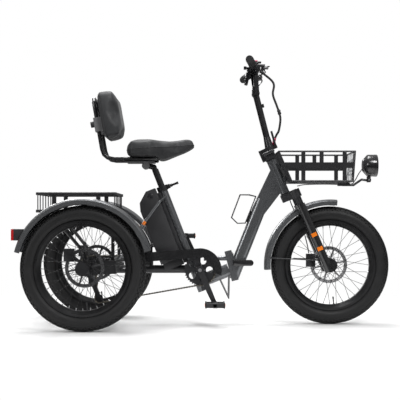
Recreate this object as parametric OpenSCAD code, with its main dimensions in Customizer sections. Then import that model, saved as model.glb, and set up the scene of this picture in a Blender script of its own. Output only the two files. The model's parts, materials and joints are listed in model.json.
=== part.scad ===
// Step-through adult electric tricycle: one fat front wheel, two fat rear wheels.
// Frame: +X forward, +Y to the rider's left, +Z up, origin on the ground under the middle.

/* [Wheels] */
// Outer radius of the tyre
wheel_r = 278; // [260:1:290]
// Width of the tyre
tyre_w = 76; // [64:1:90]
// Wall thickness of the tyre
tyre_wall = 4.5; // [3:0.5:7]
// Inner radius of the rim, where the spokes leave it
rim_in_r = 186; // [170:1:196]
// Spokes in each wheel
spoke_count = 36; // [20:4:36]
// Spoke thickness
spoke_d = 2; // [1.6:0.1:2.2]
// Radius of the brake discs
disc_r = 88; // [70:1:95]

/* [Layout] */
// Distance between the front axle and the rear axle
wheelbase = 1127; // [1090:1:1240]
// Distance between the middles of the rear tyres
track = 650; // [620:1:760]
// Height of the crank axle
bb_z = 258; // [248:1:275]
// Distance of the crank axle ahead of the rear axle
bb_ahead = 514; // [500:1:560]

/* [Seat] */
// Lean of the seat tube from upright
seat_angle = 21.3; // [18:0.1:24]
// Outer diameter of the seat tube
seat_tube_d = 40; // [38:1:46]
// Diameter of the seat post
post_d = 30.4; // [27.2:0.2:31.6]
// Length of the seat tube above the crank axle
seat_tube_up = 421; // [400:1:450]
// Length of the saddle
saddle_l = 319; // [270:1:340]
// Width of the saddle at the back
saddle_w = 260; // [200:1:280]
// Width of the backrest pad
pad_w = 300; // [230:1:360]
// Thickness of the backrest pad
pad_t = 78; // [50:1:80]
// Diameter of the backrest hoop's tube
hoop_d = 18; // [14:1:20]
// Distance between the hoop's two tubes
hoop_w = 180; // [140:1:200]

/* [Steering] */
// Lean of the steering axis from upright
rake = 23.3; // [21:0.1:25]
// Length of the head tube
head_l = 168; // [150:1:180]
// Outer diameter of the head tube
head_d = 44; // [42:1:50]
// Distance of the front axle ahead of the steering axis
fork_offset = 59; // [50:1:66]
// Travel of the suspension fork
fork_travel = 28; // [10:1:28]
// Diameter of the sliding fork tubes
stanchion_d = 30; // [26:1:32]
// Lean of the folding handlepost from upright
post_lean = 14.3; // [10:0.1:17]
// Length of the handlepost from its fold to the stem pivot
handlepost_l = 285; // [250:1:310]
// Length of the stem above the handlepost
riser_l = 112; // [90:1:130]
// Width of the handlebar
bar_w = 650; // [580:1:700]

/* [Carriers] */
// Length of the front basket at its rim
basket_l = 350; // [300:1:352]
// Width of the front basket
basket_w = 292; // [240:1:300]
// Height of the front basket
basket_h = 136; // [110:1:150]
// Length of the rear rack
rack_l = 364; // [300:1:380]
// Width of the rear rack
rack_w = 400; // [340:1:440]
// Height of the rear rack's rail above its deck
rack_h = 79; // [50:1:90]

/* [Drive] */
// Length of each crank arm
crank_l = 170; // [152:1:175]
// Teeth on the chainring
ring_teeth = 36; // [30:1:38]
// Width of the battery
battery_w = 84; // [70:1:88]

/* [Hidden] */
$fn = 48;

// clearances
run_gap = 0.05;  // between a shaft and its bore
seat_gap = 0.3;  // between pieces that rest against each other

// chain: pitch, pitch radii and the plane it runs in
chain_pitch = 12.7;
ring_r = ring_teeth * chain_pitch / (2 * PI);
cog_teeth = [14, 16, 18, 20, 22, 24, 28];
cog_gap = 4.4;   // between the middles of two cogs
drive_cog = 4;   // index of the cog that carries the chain
chain_y = -58;
cog_r = cog_teeth[drive_cog] * chain_pitch / (2 * PI);

// places along the tricycle
fender_r = wheel_r + 32;
fender_w = tyre_w + 18;
lamp_reach = 4;
x_rear = -bb_ahead;                // measured from the crank axle, before centring
x_front = x_rear + wheelbase;
x_middle = (x_front + wheel_r + x_rear - fender_r - lamp_reach) / 2;
bb_x = -x_middle;
rear_x = x_rear - x_middle;
front_x = x_front - x_middle;
axle_z = wheel_r;
half_track = track / 2;

// seat tube line: it passes behind the crank axle
seat_back = 28.6;
seat_x = bb_x - seat_back;
seat_tube_down = 110;
post_bore_from = 150;

// steering line, worked back from the front axle
crown_drop = 396;   // from the bottom of the head tube down to the axle, along the steering axis
head_x = front_x - fork_offset * cos(rake) - crown_drop * sin(rake);
head_z = axle_z - fork_offset * sin(rake) + crown_drop * cos(rake);
leg_ahead = 40;
leg_y = tyre_w / 2 + 30;
leg_d = stanchion_d + 10;
crown_low = -40;
leg_top = crown_low - fork_travel - 7;
steerer_d = 28.6;
stem_plane = head_l + 36;   // folding plane of the handlepost, above the bottom of the head tube

// frame hinge
hinge_x = bb_x + 149;
hinge_z = 275.6;
hinge_tilt = 14;
hinge_h = 142;
hinge_t = 16;
hinge_w = 62;
hinge_pin_y = 45;
hinge_pin_d = 10;
knuckle_d = 22;

// ---- helpers -------------------------------------------------------------------------------

// a straight round bar from a to b
module rod(a, b, d) {
    v = b - a;
    translate(a) rotate([0, acos(v[2] / norm(v)), atan2(v[1], v[0])]) cylinder(h = norm(v), d = d);
}

// a bent round bar through points, with a ball at each corner
module bent_bar(points, d) {
    for (i = [0:len(points) - 2]) rod(points[i], points[i + 1], d);
    for (i = [1:len(points) - 2]) translate(points[i]) sphere(d = d * 1.04);
}

// corner point b, replaced by n + 1 points on a curve of about radius r
function corner(a, b, c, r, n = 3) = let (p = b + r * (a - b) / norm(a - b), q = b
    + r * (c - b) / norm(c - b))
    [for (i = [0:n]) let (t = i / n) (1 - t) * (1 - t) * p + 2 * t * (1 - t) * b + t * t * q];

// path with its inner corners rounded
function rounded(p, r, n = 3) = concat([p[0]],
    [for (i = [1:len(p) - 2]) each corner(p[i - 1], p[i], p[i + 1], r, n)], [p[len(p) - 1]]);

// rectangle with round corners, centred
module round_rect(w, h, r) {
    square([w - 2 * r, h], center = true);
    square([w, h - 2 * r], center = true);
    for (x = [-1, 1], y = [-1, 1]) translate([x * (w / 2 - r), y * (h / 2 - r)]) circle(r = r);
}

// rounded beam from a to b, both at y = 0: w in the side view, d across the tricycle
module beam(a, b, w, d, r) {
    v = b - a;
    translate(a) rotate([0, atan2(v[0], v[2]), 0]) linear_extrude(norm(v)) round_rect(w, d, r);
}

// a side-view outline [[x, z], ...] given thickness t, centred on y
module side_plate(points, t, y = 0) {
    translate([0, y + t / 2, 0]) rotate([90, 0, 0]) linear_extrude(t) polygon(points);
}

module along_y(x, y, z, h, d) {
    translate([x, y + h / 2, z]) rotate([90, 0, 0]) cylinder(h = h, d = d);
}

module in_seat() { translate([seat_x, 0, bb_z]) rotate([0, -seat_angle, 0]) children(); }
module in_steering() { translate([head_x, 0, head_z]) rotate([0, -rake, 0]) children(); }
module in_hinge() { translate([hinge_x, 0, hinge_z]) rotate([0, -hinge_tilt, 0]) children(); }

// a point of the seat frame or of the steering frame in the tricycle's own frame
function from_seat(p) = [seat_x + p[0] * cos(seat_angle) - p[2] * sin(seat_angle), p[1],
    bb_z + p[0] * sin(seat_angle) + p[2] * cos(seat_angle)];
function from_steering(p) = [head_x + p[0] * cos(rake) - p[2] * sin(rake), p[1],
    head_z + p[0] * sin(rake) + p[2] * cos(rake)];

// ---- wheels --------------------------------------------------------------------------------

hub_flange_r = 33;
hub_flange_t = 9;
hub_half = 25;       // from the wheel's middle to the middle of a flange
hub_core_d = 44;
shaft_d = 17;
front_axle_d = 12;
disc_t = 2;
rim_half = 30;
rim_wall = 3.5;
rim_wall_r = wheel_r - tyre_w + 10;   // top of the rim's side wall
bead_half = sqrt(pow(tyre_w / 2, 2) - pow(tyre_w / 2 - 10, 2));  // tyre's half width at the rim's edge
spoke_gap = 1.1;
lace_turn = 50;      // how far round the hub a spoke starts from where it ends

// turns a section drawn as [radius, across] round the wheel's axle, in the side view
module around_axle(angle = 360, from = 0) {
    rotate([90, -from, 0]) rotate_extrude(angle = angle) children(); }

module tyre_shape() {
    around_axle($fn = 96) translate([wheel_r - tyre_w / 2, 0]) difference() {
        circle(d = tyre_w);
        circle(d = tyre_w - 2 * tyre_wall);
        translate([-tyre_w / 2 - 1, -tyre_w / 5]) square([tyre_w / 2, 2 * tyre_w / 5]);
    }
}

module rim_shape() {
    inner = bead_half + seat_gap;
    well_r = rim_in_r + 3;
    around_axle($fn = 96) polygon([
        [rim_in_r, -inner / 2], [rim_wall_r - 10, -inner - rim_wall], [rim_wall_r, -inner - rim_wall],
        [rim_wall_r, -inner], [rim_wall_r - 10, -inner], [well_r, -inner / 2],
        [well_r, inner / 2], [rim_wall_r - 10, inner], [rim_wall_r, inner],
        [rim_wall_r, inner + rim_wall], [rim_wall_r - 10, inner + rim_wall], [rim_in_r, inner / 2]]);
}

module spoke_set() {
    pairs = spoke_count / 4;
    step = 360 / pairs;
    for (i = [0:pairs - 1], side = [0, 1], way = [0, 1]) {
        at = i * step + side * step / 2 + way * step / 4;
        turn = way == 0 ? lace_turn : -lace_turn;
        y = (side == 0 ? 1 : -1) * (hub_half + (way == 0 ? 2.6 : -2.6));
        start = hub_flange_r + spoke_gap;
        finish = rim_in_r - seat_gap;
        rod([start * cos(at + turn), y, start * sin(at + turn)],
            [finish * cos(at), sign(y) * 4, finish * sin(at)], spoke_d);
    }
}

module hub_shell(bore) {
    difference() {
        union() {
            along_y(0, 0, 0, 2 * hub_half, hub_core_d);
            for (s = [-1, 1]) along_y(0, s * hub_half, 0, hub_flange_t, 2 * hub_flange_r);
        }
        along_y(0, 0, 0, 2 * hub_half + hub_flange_t + 2, bore);
    }
}

// brake disc: outer band, inner ring and arms between them
module disc_shape(bore_r) {
    rotate([90, 0, 0]) linear_extrude(disc_t, center = true) {
        difference() { circle(r = disc_r); circle(r = disc_r - 16); }
        difference() { circle(r = bore_r + 9); circle(r = bore_r); }
        for (i = [0:5]) rotate(i * 60 + 12) translate([bore_r + 4, -4]) square([disc_r - bore_r - 14, 8]);
    }
}

disc_y = half_track - 57;
shaft_end = half_track + 42;
diff_gap = 1;

module rear_hub(s) {
    translate([rear_x, s * half_track, axle_z]) {
        hub_shell(shaft_d + 2 * run_gap);
        spoke_set();
    }
    color("silver") along_y(rear_x, s * (shaft_end + diff_gap) / 2, axle_z, shaft_end - diff_gap, shaft_d);
    color("silver") translate([rear_x, s * disc_y, axle_z]) disc_shape(shaft_d / 2 + 8);
    // disc carrier, between the disc and the hub
    difference() {
        along_y(rear_x, s * (disc_y + 12.4), axle_z, 22, 2 * (shaft_d / 2 + 8) + 12);
        along_y(rear_x, s * (disc_y + 12.4), axle_z, 24, shaft_d + 2 * run_gap);
    }
    // cap over the end of the axle
    difference() {
        along_y(rear_x, s * (half_track + 39.5), axle_z, 19, 58);
        along_y(rear_x, s * (half_track + 35), axle_z, 16, shaft_d + 2 * run_gap);
    }
}

module rear_right_tyre() { color("#1c1c1d") translate([rear_x, -half_track, axle_z]) tyre_shape(); }
module rear_left_tyre() { color("#1c1c1d") translate([rear_x, half_track, axle_z]) tyre_shape(); }
module rear_right_rim() { color("#262627") translate([rear_x, -half_track, axle_z]) rim_shape(); }
module rear_left_rim() { color("#262627") translate([rear_x, half_track, axle_z]) rim_shape(); }
module rear_right_hub() { color("#2b2b2c") rear_hub(-1); }
module rear_left_hub() { color("#2b2b2c") rear_hub(1); }
module front_tyre() { color("#1c1c1d") translate([front_x, 0, axle_z]) tyre_shape(); }
module front_rim() { color("#262627") translate([front_x, 0, axle_z]) rim_shape(); }

module front_hub() {
    front_disc_y = hub_half + hub_flange_t / 2 + 5.3;
    color("#2b2b2c") translate([front_x, 0, axle_z]) {
        hub_shell(front_axle_d + 2 * run_gap);
        spoke_set();
    }
    color("silver") translate([front_x, front_disc_y, axle_z]) disc_shape(16);
    // ring that spaces the disc from the flange
    color("#2b2b2c") translate([front_x, front_disc_y - 3.1, axle_z]) difference() {
        along_y(0, 0, 0, 3.8, 50);
        along_y(0, 0, 0, 5, 32);
    }
}

// ---- rear frame ----------------------------------------------------------------------------

module seat_tube() {
    color("#6d6f70") difference() {
        union() {
            in_seat() translate([0, 0, -seat_tube_down])
                cylinder(h = seat_tube_down + seat_tube_up, d = seat_tube_d);
            along_y(bb_x, 0, bb_z, bb_shell_w, bb_shell_d);
        }
        in_seat() translate([0, 0, post_bore_from]) cylinder(h = seat_tube_up, d = post_d + 2 * run_gap);
        along_y(bb_x, 0, bb_z, bb_shell_w + 2, bb_bore_d);
    }
}
bb_shell_w = 73;
bb_shell_d = 46;
bb_bore_d = 34;
bb_axle_d = 17;

beam_w = 62;
beam_d = 46;
beam_low_z = 203;
beam_low_x = seat_x + (bb_z - beam_low_z) * tan(seat_angle);

// the plates of the frame hinge: side = -1 is the rear half, 1 the front half
module hinge_plate(side) {
    in_hinge() translate([side > 0 ? seat_gap / 2 : -hinge_t - seat_gap / 2, -hinge_w / 2, -hinge_h / 2])
        cube([hinge_t, hinge_w, hinge_h]);
}

// room of the plate on one side, cut from the other half
module hinge_room(side) {
    in_hinge() translate([side > 0 ? -seat_gap / 2 : -hinge_t - 4, -hinge_w / 2 - 1, -hinge_h / 2 - 1])
        cube([hinge_t + 4 + seat_gap / 2, hinge_w + 1 + seat_gap, hinge_h + 2]);
}

// one knuckle of the hinge between heights z1 and z2, with its web to the plate on that side
module knuckle(side, z1, z2) {
    lean = tan(hinge_tilt);
    plate_x = hinge_x - (z1 + z2) / 2 * lean;
    translate([hinge_x, hinge_pin_y, hinge_z + z1]) cylinder(h = z2 - z1, d = knuckle_d);
    web_from = side > 0 ? min(hinge_x, plate_x) + 5 : plate_x - hinge_t + 2;
    web_to = side > 0 ? plate_x + hinge_t : max(hinge_x, plate_x) - 5;
    translate([web_from, hinge_w / 2 - 4, hinge_z + z1])
        cube([web_to - web_from, hinge_pin_y - hinge_w / 2 + 4, z2 - z1]);
}

module lower_beam() {
    top_z = 310;
    color("#5a5c5d") difference() {
        union() {
            beam([beam_low_x + 12, 0, beam_low_z], [hinge_x - 12, 0, hinge_z - 20], beam_w, beam_d, 20);
            rod([bb_x + 18, 0, top_z - 1], [hinge_x - 16, 0, top_z], 22);
            hinge_plate(-1);
            knuckle(-1, 26, 56);
            knuckle(-1, -56, -26);
        }
        in_seat() translate([0, 0, -seat_tube_down - 5]) cylinder(h = 500, d = seat_tube_d + 2 * seat_gap);
        along_y(bb_x, 0, bb_z, beam_d + 60, bb_shell_d + 2 * seat_gap);
        translate([hinge_x, hinge_pin_y, hinge_z - 80]) cylinder(h = 160, d = hinge_pin_d + 2 * run_gap);
        hinge_room(1);
    }
    // hinge pin with its heads
    color("silver") translate([hinge_x, hinge_pin_y, hinge_z - 59]) {
        cylinder(h = 118, d = hinge_pin_d);
        translate([0, 0, -3]) cylinder(h = 3, d = 16);
        translate([0, 0, 118]) cylinder(h = 3, d = 16);
    }
}

spine_d = 38;
cross_x = rear_x + 117;      // middle of the rear frame's cross box
cross_w = 40;
cross_h = 58;
cross_z = 279;
plate_y = [105, 248];        // middles of the plates that hold the axle bearings
plate_t = 6;
bearing_d = 46;

// tube from the seat tube back to the cross box
module spine(d) { rod([seat_x - 4, 0, bb_z + 1], [cross_x, 0, bb_z + 1], d); }

module rear_subframe() {
    end_y = plate_y[1] + plate_t / 2;
    color("#3a3b3c") difference() {
        union() {
            spine(spine_d);
            translate([cross_x - cross_w / 2, -end_y, cross_z - cross_h / 2])
                cube([cross_w, 2 * end_y, cross_h]);
            for (s = [-1, 1], y = plate_y) side_plate([[cross_x, cross_z - 30], [cross_x, cross_z + 30],
                [rear_x - 10, axle_z + 34], [rear_x - 36, axle_z + 20], [rear_x - 36, axle_z - 20],
                [rear_x - 10, axle_z - 34]], plate_t, s * y);
        }
        in_seat() translate([0, 0, -seat_tube_down - 5]) cylinder(h = 500, d = seat_tube_d + 2 * seat_gap);
        along_y(rear_x, 0, axle_z, 3 * half_track, bearing_d);
    }
    // post and cross bar that carry the front ends of the rear fenders
    color("#2b2b2c") difference() {
        union() {
            rod([stay_bar_x, 0, bb_z + 1 + spine_d / 2 - 3], [stay_bar_x, 0, stay_bar_z], 14);
            along_y(stay_bar_x, 0, stay_bar_z, 2 * (half_track - fender_w / 2) - 2 * seat_gap, 14);
        }
        spine(spine_d + 2 * seat_gap);
    }
}
stay_bar_x = rear_x + 283;
stay_bar_z = 372;

// seat stays and rack struts, each a separate bar
module frame_stays() {
    top = from_seat([0, 0, seat_tube_up - 52]);
    foot_z = cross_z + cross_h / 2 + seat_gap;
    strut_y = plate_y[0] + plate_t / 2 + 8 + seat_gap;
    color("#77797a") for (s = [-1, 1]) difference() {
        bent_bar([[top[0], s * 18, top[2]], [top[0] - 26, s * 58, top[2] - 24],
            [cross_x + 8, s * 98, foot_z - 12]], 14);
        in_seat() cylinder(h = 500, d = seat_tube_d + 2 * seat_gap);
        translate([cross_x - 60, -300, foot_z - 100]) cube([150, 600, 100]);
    }
    color("#2b2b2c") for (s = [-1, 1]) {
        rod([cross_x, s * 170, foot_z], [cross_x, s * 170, rack_z - rack_rod / 2 - seat_gap], 16);
        difference() {
            bent_bar([[rear_x - 18, s * strut_y, axle_z + 27.5], [rear_x - 18, s * strut_y, axle_z + 60],
                [rear_x - 160, s * 150, rack_z - 20], [rear_x - 160, s * 150, rack_z]], 16);
            translate([rear_x - 400, -300, rack_z - rack_rod / 2 - seat_gap]) cube([500, 600, 100]);
        }
    }
}

module fender_section(half) {
    // outline of the shell across the wheel: crown at the top, skirts at the sides
    crown = fender_r;
    skirt = fender_r - 28;
    t = 2.5;
    polygon([[skirt, -half], [crown - 10, -half], [crown - 3, -half * 0.72], [crown, -half * 0.35],
        [crown, half * 0.35], [crown - 3, half * 0.72], [crown - 10, half], [skirt, half],
        [skirt, half - t], [crown - 10 - 1, half - t], [crown - 3 - t, half * 0.72 - 1],
            [crown - t, half * 0.35],
        [crown - t, -half * 0.35], [crown - 3 - t, -half * 0.72 + 1], [crown - 10 - 1, -half + t],
            [skirt, -half + t]]);
}

module rear_fenders() {
    color("#8a8c8d") for (s = [-1, 1]) translate([rear_x, s * half_track, axle_z])
        around_axle(angle = 151, from = 15, $fn = 96) fender_section(fender_w / 2);
}

lamp_x = rear_x - fender_r;
lamp_z = axle_z + 150;
module tail_lights() {
    // each lamp stands on the back of a fender
    for (s = [-1, 1]) {
        color("#202021") difference() {
            translate([lamp_x + 8, s * half_track - 24, lamp_z - 26]) cube([44, 48, 50]);
            translate([rear_x, s * half_track, axle_z]) rotate([90, 0, 0])
                cylinder(h = 200, r = fender_r + seat_gap, center = true, $fn = 96);
        }
        color("#b01818") translate([lamp_x - lamp_reach, s * half_track - 22, lamp_z - 26])
            cube([12 - seat_gap, 44, 50]);
    }
}

// ---- rear rack -----------------------------------------------------------------------------

rack_rod = 14;
rack_wire = 5;
rack_z = 532;
rack_back = rear_x - 229;
rack_front = rack_back + rack_l;
rack_y = rack_w / 2;

module rack_side(s) {
    rail_z = rack_z + rack_h;
    y = s * (rack_y - rack_rod / 2);
    rod([rack_back, y, rail_z], [rack_front, y, rail_z], rack_rod);
    rod([rack_back, y, rack_z], [rack_front, y, rack_z], rack_rod);
    for (x = [rack_back + 8, rack_front - 8]) rod([x, y, rack_z], [x, y, rail_z], rack_wire);
    for (x = [rack_back + 72, rack_front - 92])
        translate([x, y - 1.5, rack_z]) cube([20, 3, rack_h]);
}

module rack_end(x) {
    side = rack_y - rack_rod - seat_gap;
    for (z = [rack_z, rack_z + rack_h]) rod([x, -side, z], [x, side, z], rack_rod);
    for (y = [-120, -40, 40, 120]) rod([x, y, rack_z], [x, y, rack_z + rack_h], rack_wire);
}

module rear_rack() {
    color("#1d1d1e") {
        for (s = [-1, 1]) rack_side(s);
        rack_end(rack_back + rack_rod / 2);
        rack_end(rack_front - rack_rod / 2);
        for (i = [0:6]) {
            y = (i - 3) * 50;
            translate([rack_back + rack_rod + seat_gap, y - 10, rack_z - 3])
                cube([rack_l - 2 * rack_rod - 2 * seat_gap, 20, 3]);
        }
        // bars that hold the fenders
        for (s = [-1, 1]) translate([rear_x - 12, min(s * (rack_y + seat_gap), s * fender_in_y), rack_z
            + 6])
            fender_bracket(s);
    }
}
fender_in_y = half_track - fender_w / 2 - seat_gap;

// an angled strip from the rack's side rail to the fender's skirt
module fender_bracket(s) {
    reach = fender_in_y - rack_y - seat_gap;
    cube([24, reach, 4]);
    translate([0, s > 0 ? reach - 3 : 0, 0]) cube([24, 3, 34]);
    translate([0, s > 0 ? 0 : reach - 3, -8]) cube([24, 3, 12]);
}

// ---- battery -------------------------------------------------------------------------------

rail_t = 11;
battery_from = 76;
battery_face = seat_tube_d / 2 + seat_gap + rail_t + seat_gap;   // front face, behind the seat tube's line
battery_deep = 103;
battery_top = 423;

// outline in the seat frame: [forward, up]
battery_outline = [[-battery_face, battery_from], [-battery_face, battery_top],
    [-battery_face - 46, battery_top],
    [-battery_face - 92, battery_top - 40], [-battery_face - battery_deep, battery_top - 78],
    [-battery_face - battery_deep, battery_from]];

module battery_case() {
    wall = 3;
    // closed case with the cells' room inside, and a key lock and a charge-port cap on its right side
    color("#222324") in_seat() {
        difference() {
            side_plate(battery_outline, battery_w);
            translate([-battery_face - battery_deep + wall, -battery_w / 2 + wall, battery_from + wall])
                cube([battery_deep - 2 * wall, battery_w - 2 * wall, battery_top - battery_from - 78]);
        }
        for (s = [-1, 1]) along_y(-battery_face - 34, s * (battery_w / 2 + 2
            + seat_gap), battery_top - 28, 4, 26);
    }
}

module battery_cells() {
    room = 4;
    color("#3f6fa8") in_seat()
        translate([-battery_face - battery_deep + room, -battery_w / 2 + room, battery_from + 3 + seat_gap])
        cube([battery_deep - 2 * room, battery_w - 2 * room, battery_top - battery_from - 88]);
}

module battery_dock() {
    color("#1b1b1c") in_seat() {
        // rail on the back of the seat tube
        difference() {
            translate([-seat_tube_d / 2 - seat_gap - rail_t, -22, battery_from - 30])
                cube([rail_t + 6, 44, seat_tube_up - 24 - seat_gap - battery_from + 30]);
            cylinder(h = 500, d = seat_tube_d + 2 * seat_gap);
        }
    }
    // controller box under the battery, cut round the spine
    color("#1b1b1c") difference() {
        in_seat() translate([-battery_face - battery_deep + 8, -battery_w / 2
            + 4, battery_from - 34 - seat_gap])
            cube([battery_deep - 10, battery_w - 8, 34]);
        spine(spine_d + 2 * seat_gap);
    }
}

module seat_clamp() {
    z = seat_tube_up - 24;
    color("#161617") in_seat() difference() {
        union() {
            translate([0, 0, z]) cylinder(h = 24, d = seat_tube_d + 12);
            translate([seat_tube_d / 2 + 2, -9, z + 2]) cube([16, 18, 20]);
        }
        translate([0, 0, z - 1]) cylinder(h = 26, d = seat_tube_d + 2 * run_gap);
        translate([seat_tube_d / 2 - 4, -1.5, z - 1]) cube([30, 3, 30]);
    }
}
lever_pivot = [seat_tube_d / 2 + 24, 0, seat_tube_up - 12];

module seat_clamp_lever() {
    color("#161617") in_seat() {
        translate(lever_pivot + [0, 0, -7]) cylinder(h = 14, d = 11);
        translate(lever_pivot + [3, -4, -5]) cube([28, 8, 10]);
        translate(lever_pivot + [31, 0, -6]) cylinder(h = 12, d = 10);
    }
}

// ---- drive ---------------------------------------------------------------------------------

crank_phase = 23.8;    // how far forward of straight down the right crank points
crank_y = 92;          // middle of each crank arm, across the tricycle
arm_t = 14;
pedal_l = 92;
pedal_wide = 96;
pedal_h = 26;
guard_y = chain_y - 17;

// the right arm (s = -1) points down and forward, the left arm the opposite way
module crank_arm(s) {
    translate([bb_x, s * crank_y, bb_z]) rotate([0, s < 0 ? 180 - crank_phase : -crank_phase, 0])
        rotate([90, 0, 0]) linear_extrude(arm_t, center = true) difference() {
            union() {
                circle(d = 36);
                translate([0, crank_l]) circle(d = 28);
                polygon([[-15, 0], [15, 0], [11, crank_l], [-11, crank_l]]);
            }
            circle(d = bb_axle_d + 2 * run_gap);
            translate([0, crank_l]) circle(d = pedal_pin_d + 2 * run_gap);
        }
}
pedal_pin_d = 12;

module crankset() {
    color("#28292a") for (s = [-1, 1]) crank_arm(s);
    color("silver") along_y(bb_x, 0, bb_z, 2 * crank_y - arm_t + 18, bb_axle_d);
    // boss that carries the chainring
    boss = [-crank_y + arm_t / 2 + seat_gap, chain_y - 1.5 - seat_gap];
    color("#28292a") difference() {
        along_y(bb_x, (boss[0] + boss[1]) / 2, bb_z, boss[1] - boss[0], 40);
        along_y(bb_x, -60, bb_z, 80, bb_axle_d + 2 * run_gap);
    }
}

// a sprocket outline with n short teeth
module sprocket(n, t, hole_d) {
    r = n * chain_pitch / (2 * PI);
    rotate([90, 0, 0]) linear_extrude(t, center = true) difference() {
        polygon([for (i = [0:n - 1]) each [
            for (k = [[-0.25, -3.2], [-0.1, 1.8], [0.1, 1.8], [0.25, -3.2]])
                (r + k[1]) * [cos((i + k[0]) * 360 / n), sin((i + k[0]) * 360 / n)]]]);
        circle(d = hole_d);
    }
}

module chainring() {
    color("#3a3b3c") translate([bb_x, chain_y, bb_z]) difference() {
        sprocket(ring_teeth, 3, bb_axle_d + 2 * seat_gap);
        for (i = [0:4]) rotate([0, i * 72, 0]) translate([ring_r * 0.6, 0, 0]) rotate([90, 0, 0])
            cylinder(h = 10, d = ring_r * 0.44, center = true);
    }
}

module cassette() {
    // differential case with a freewheel of seven cogs on its right side
    bore = shaft_d + 2 * run_gap;
    color("#4a4b4c") translate([rear_x, 0, axle_z]) difference() {
        union() {
            along_y(0, 6, 0, 64, 78);
            along_y(0, -50, 0, 48, 34);
        }
        along_y(0, 0, 0, 200, bore);
    }
    color("#8f9192") for (i = [0:len(cog_teeth) - 1])
        translate([rear_x, chain_y + (i - drive_cog) * cog_gap, axle_z]) sprocket(cog_teeth[i], 2, 34
            + 2 * run_gap);
}

module pedal(s) {
    tip_x = crank_l * sin(crank_phase);
    tip_z = crank_l * cos(crank_phase);
    x = bb_x + (s < 0 ? tip_x : -tip_x);
    z = bb_z + (s < 0 ? -tip_z : tip_z);
    inner = crank_y + arm_t / 2 + 4;
    y = s * (inner + pedal_wide / 2);
    color("#1e1e1f") difference() {
        translate([x, y, z]) cube([pedal_l, pedal_wide, pedal_h], center = true);
        for (k = [-1, 1]) translate([x + k * pedal_l / 4, y, z])
            cube([pedal_l / 2 - 22, pedal_wide - 24, pedal_h + 2], center = true);
        along_y(x, y, z, pedal_wide - 16, pedal_pin_d + 0.2);
    }
    color("silver") along_y(x, s * (crank_y + pedal_wide / 2), z, pedal_wide + 4, pedal_pin_d);
}
module pedal_right() { pedal(-1); }
module pedal_left() { pedal(1); }

guide_pulley = [rear_x + 14, axle_z - 82];
tension_pulley = [rear_x + 44, axle_z - 152];
pulley_r = 22;

// the chain's centre line in the side view: over both sprockets and round the two pulleys
function arc2(c, r, a1, a2, n) =
    [for (i = [0:n]) let (a = a1 + (a2 - a1) * i / n) [c[0] + r * cos(a), c[1] + r * sin(a)]];
chain_line = concat(
    arc2([bb_x, bb_z], ring_r, 90, -98, 16),
    arc2(tension_pulley, pulley_r, -98, -170, 4),
    arc2(guide_pulley, pulley_r, 10, 55, 3),
    arc2([rear_x, axle_z], cog_r, -35, -270, 12));

module chain() {
    // two rows of side plates, joined by rollers where the chain runs free of the teeth
    n = len(chain_line);
    color("#55575a") {
        for (y = [-2.4, 2.4], i = [0:n - 1]) {
            p = chain_line[i];
            q = chain_line[(i + 1) % n];
            d = q - p;
            translate([p[0], chain_y + y, p[1]]) rotate([0, -atan2(d[1], d[0]), 0])
                translate([-0.6, -0.4, -4]) cube([norm(d) + 1.2, 0.8, 8]);
        }
        for (run = [[16, 17], [n - 1, 0]]) {
            p = chain_line[run[0]];
            q = chain_line[run[1]];
            count = floor(norm(q - p) / (3 * chain_pitch)) - 1;
            for (k = [1:count]) {
                at = p + (q - p) * (k + 0.5) / (count + 1.5);
                along_y(at[0], chain_y, at[1], 5.6, 5);
            }
        }
    }
}

module chain_guard() {
    r_out = 101;
    r_in = 66;
    t = 2.5;
    back = -270;   // rear end, from the crank axle
    drop = back * tan(4.6);
    color("#1c1d1e") translate([bb_x, 0, bb_z]) {
        translate([0, guard_y + t / 2, 0]) rotate([90, 0, 0]) linear_extrude(t) {
            difference() {
                circle(r = r_out);
                circle(r = r_in);
                translate([-300, -300]) square([300, 600]);
                polygon([[0, 0], [300, -70], [300, -300], [0, -300]]);
            }
            polygon([[0, r_out], [back, r_out + drop], [back, r_out + drop - 42], [0, r_out - 43]]);
        }
        // top flange that covers the chain
        intersection() {
            translate([0, guard_y + 15, 0]) rotate([90, 0, 0]) linear_extrude(30, center = true) {
                difference() {
                    circle(r = r_out);
                    circle(r = r_out - t);
                    translate([-300, -300]) square([300, 600]);
                    polygon([[0, 0], [300, -70], [300, -300], [0, -300]]);
                }
                polygon([[0, r_out], [back, r_out + drop], [back, r_out + drop - t], [0, r_out - t]]);
            }
            translate([-400, guard_y - 1, -400]) cube([800, 28, 800]);
        }
        // arm that holds the guard on the bottom bracket shell
        rod([0, -bb_shell_w / 2 + 8, bb_shell_d / 2 + seat_gap],
            [0, -bb_shell_w / 2 + 8, r_out - t + 0.5], 6);
        translate([-4, guard_y, r_out - t - 3]) cube([8, -bb_shell_w / 2 + 8 - guard_y, 3.5]);
    }
}

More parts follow.
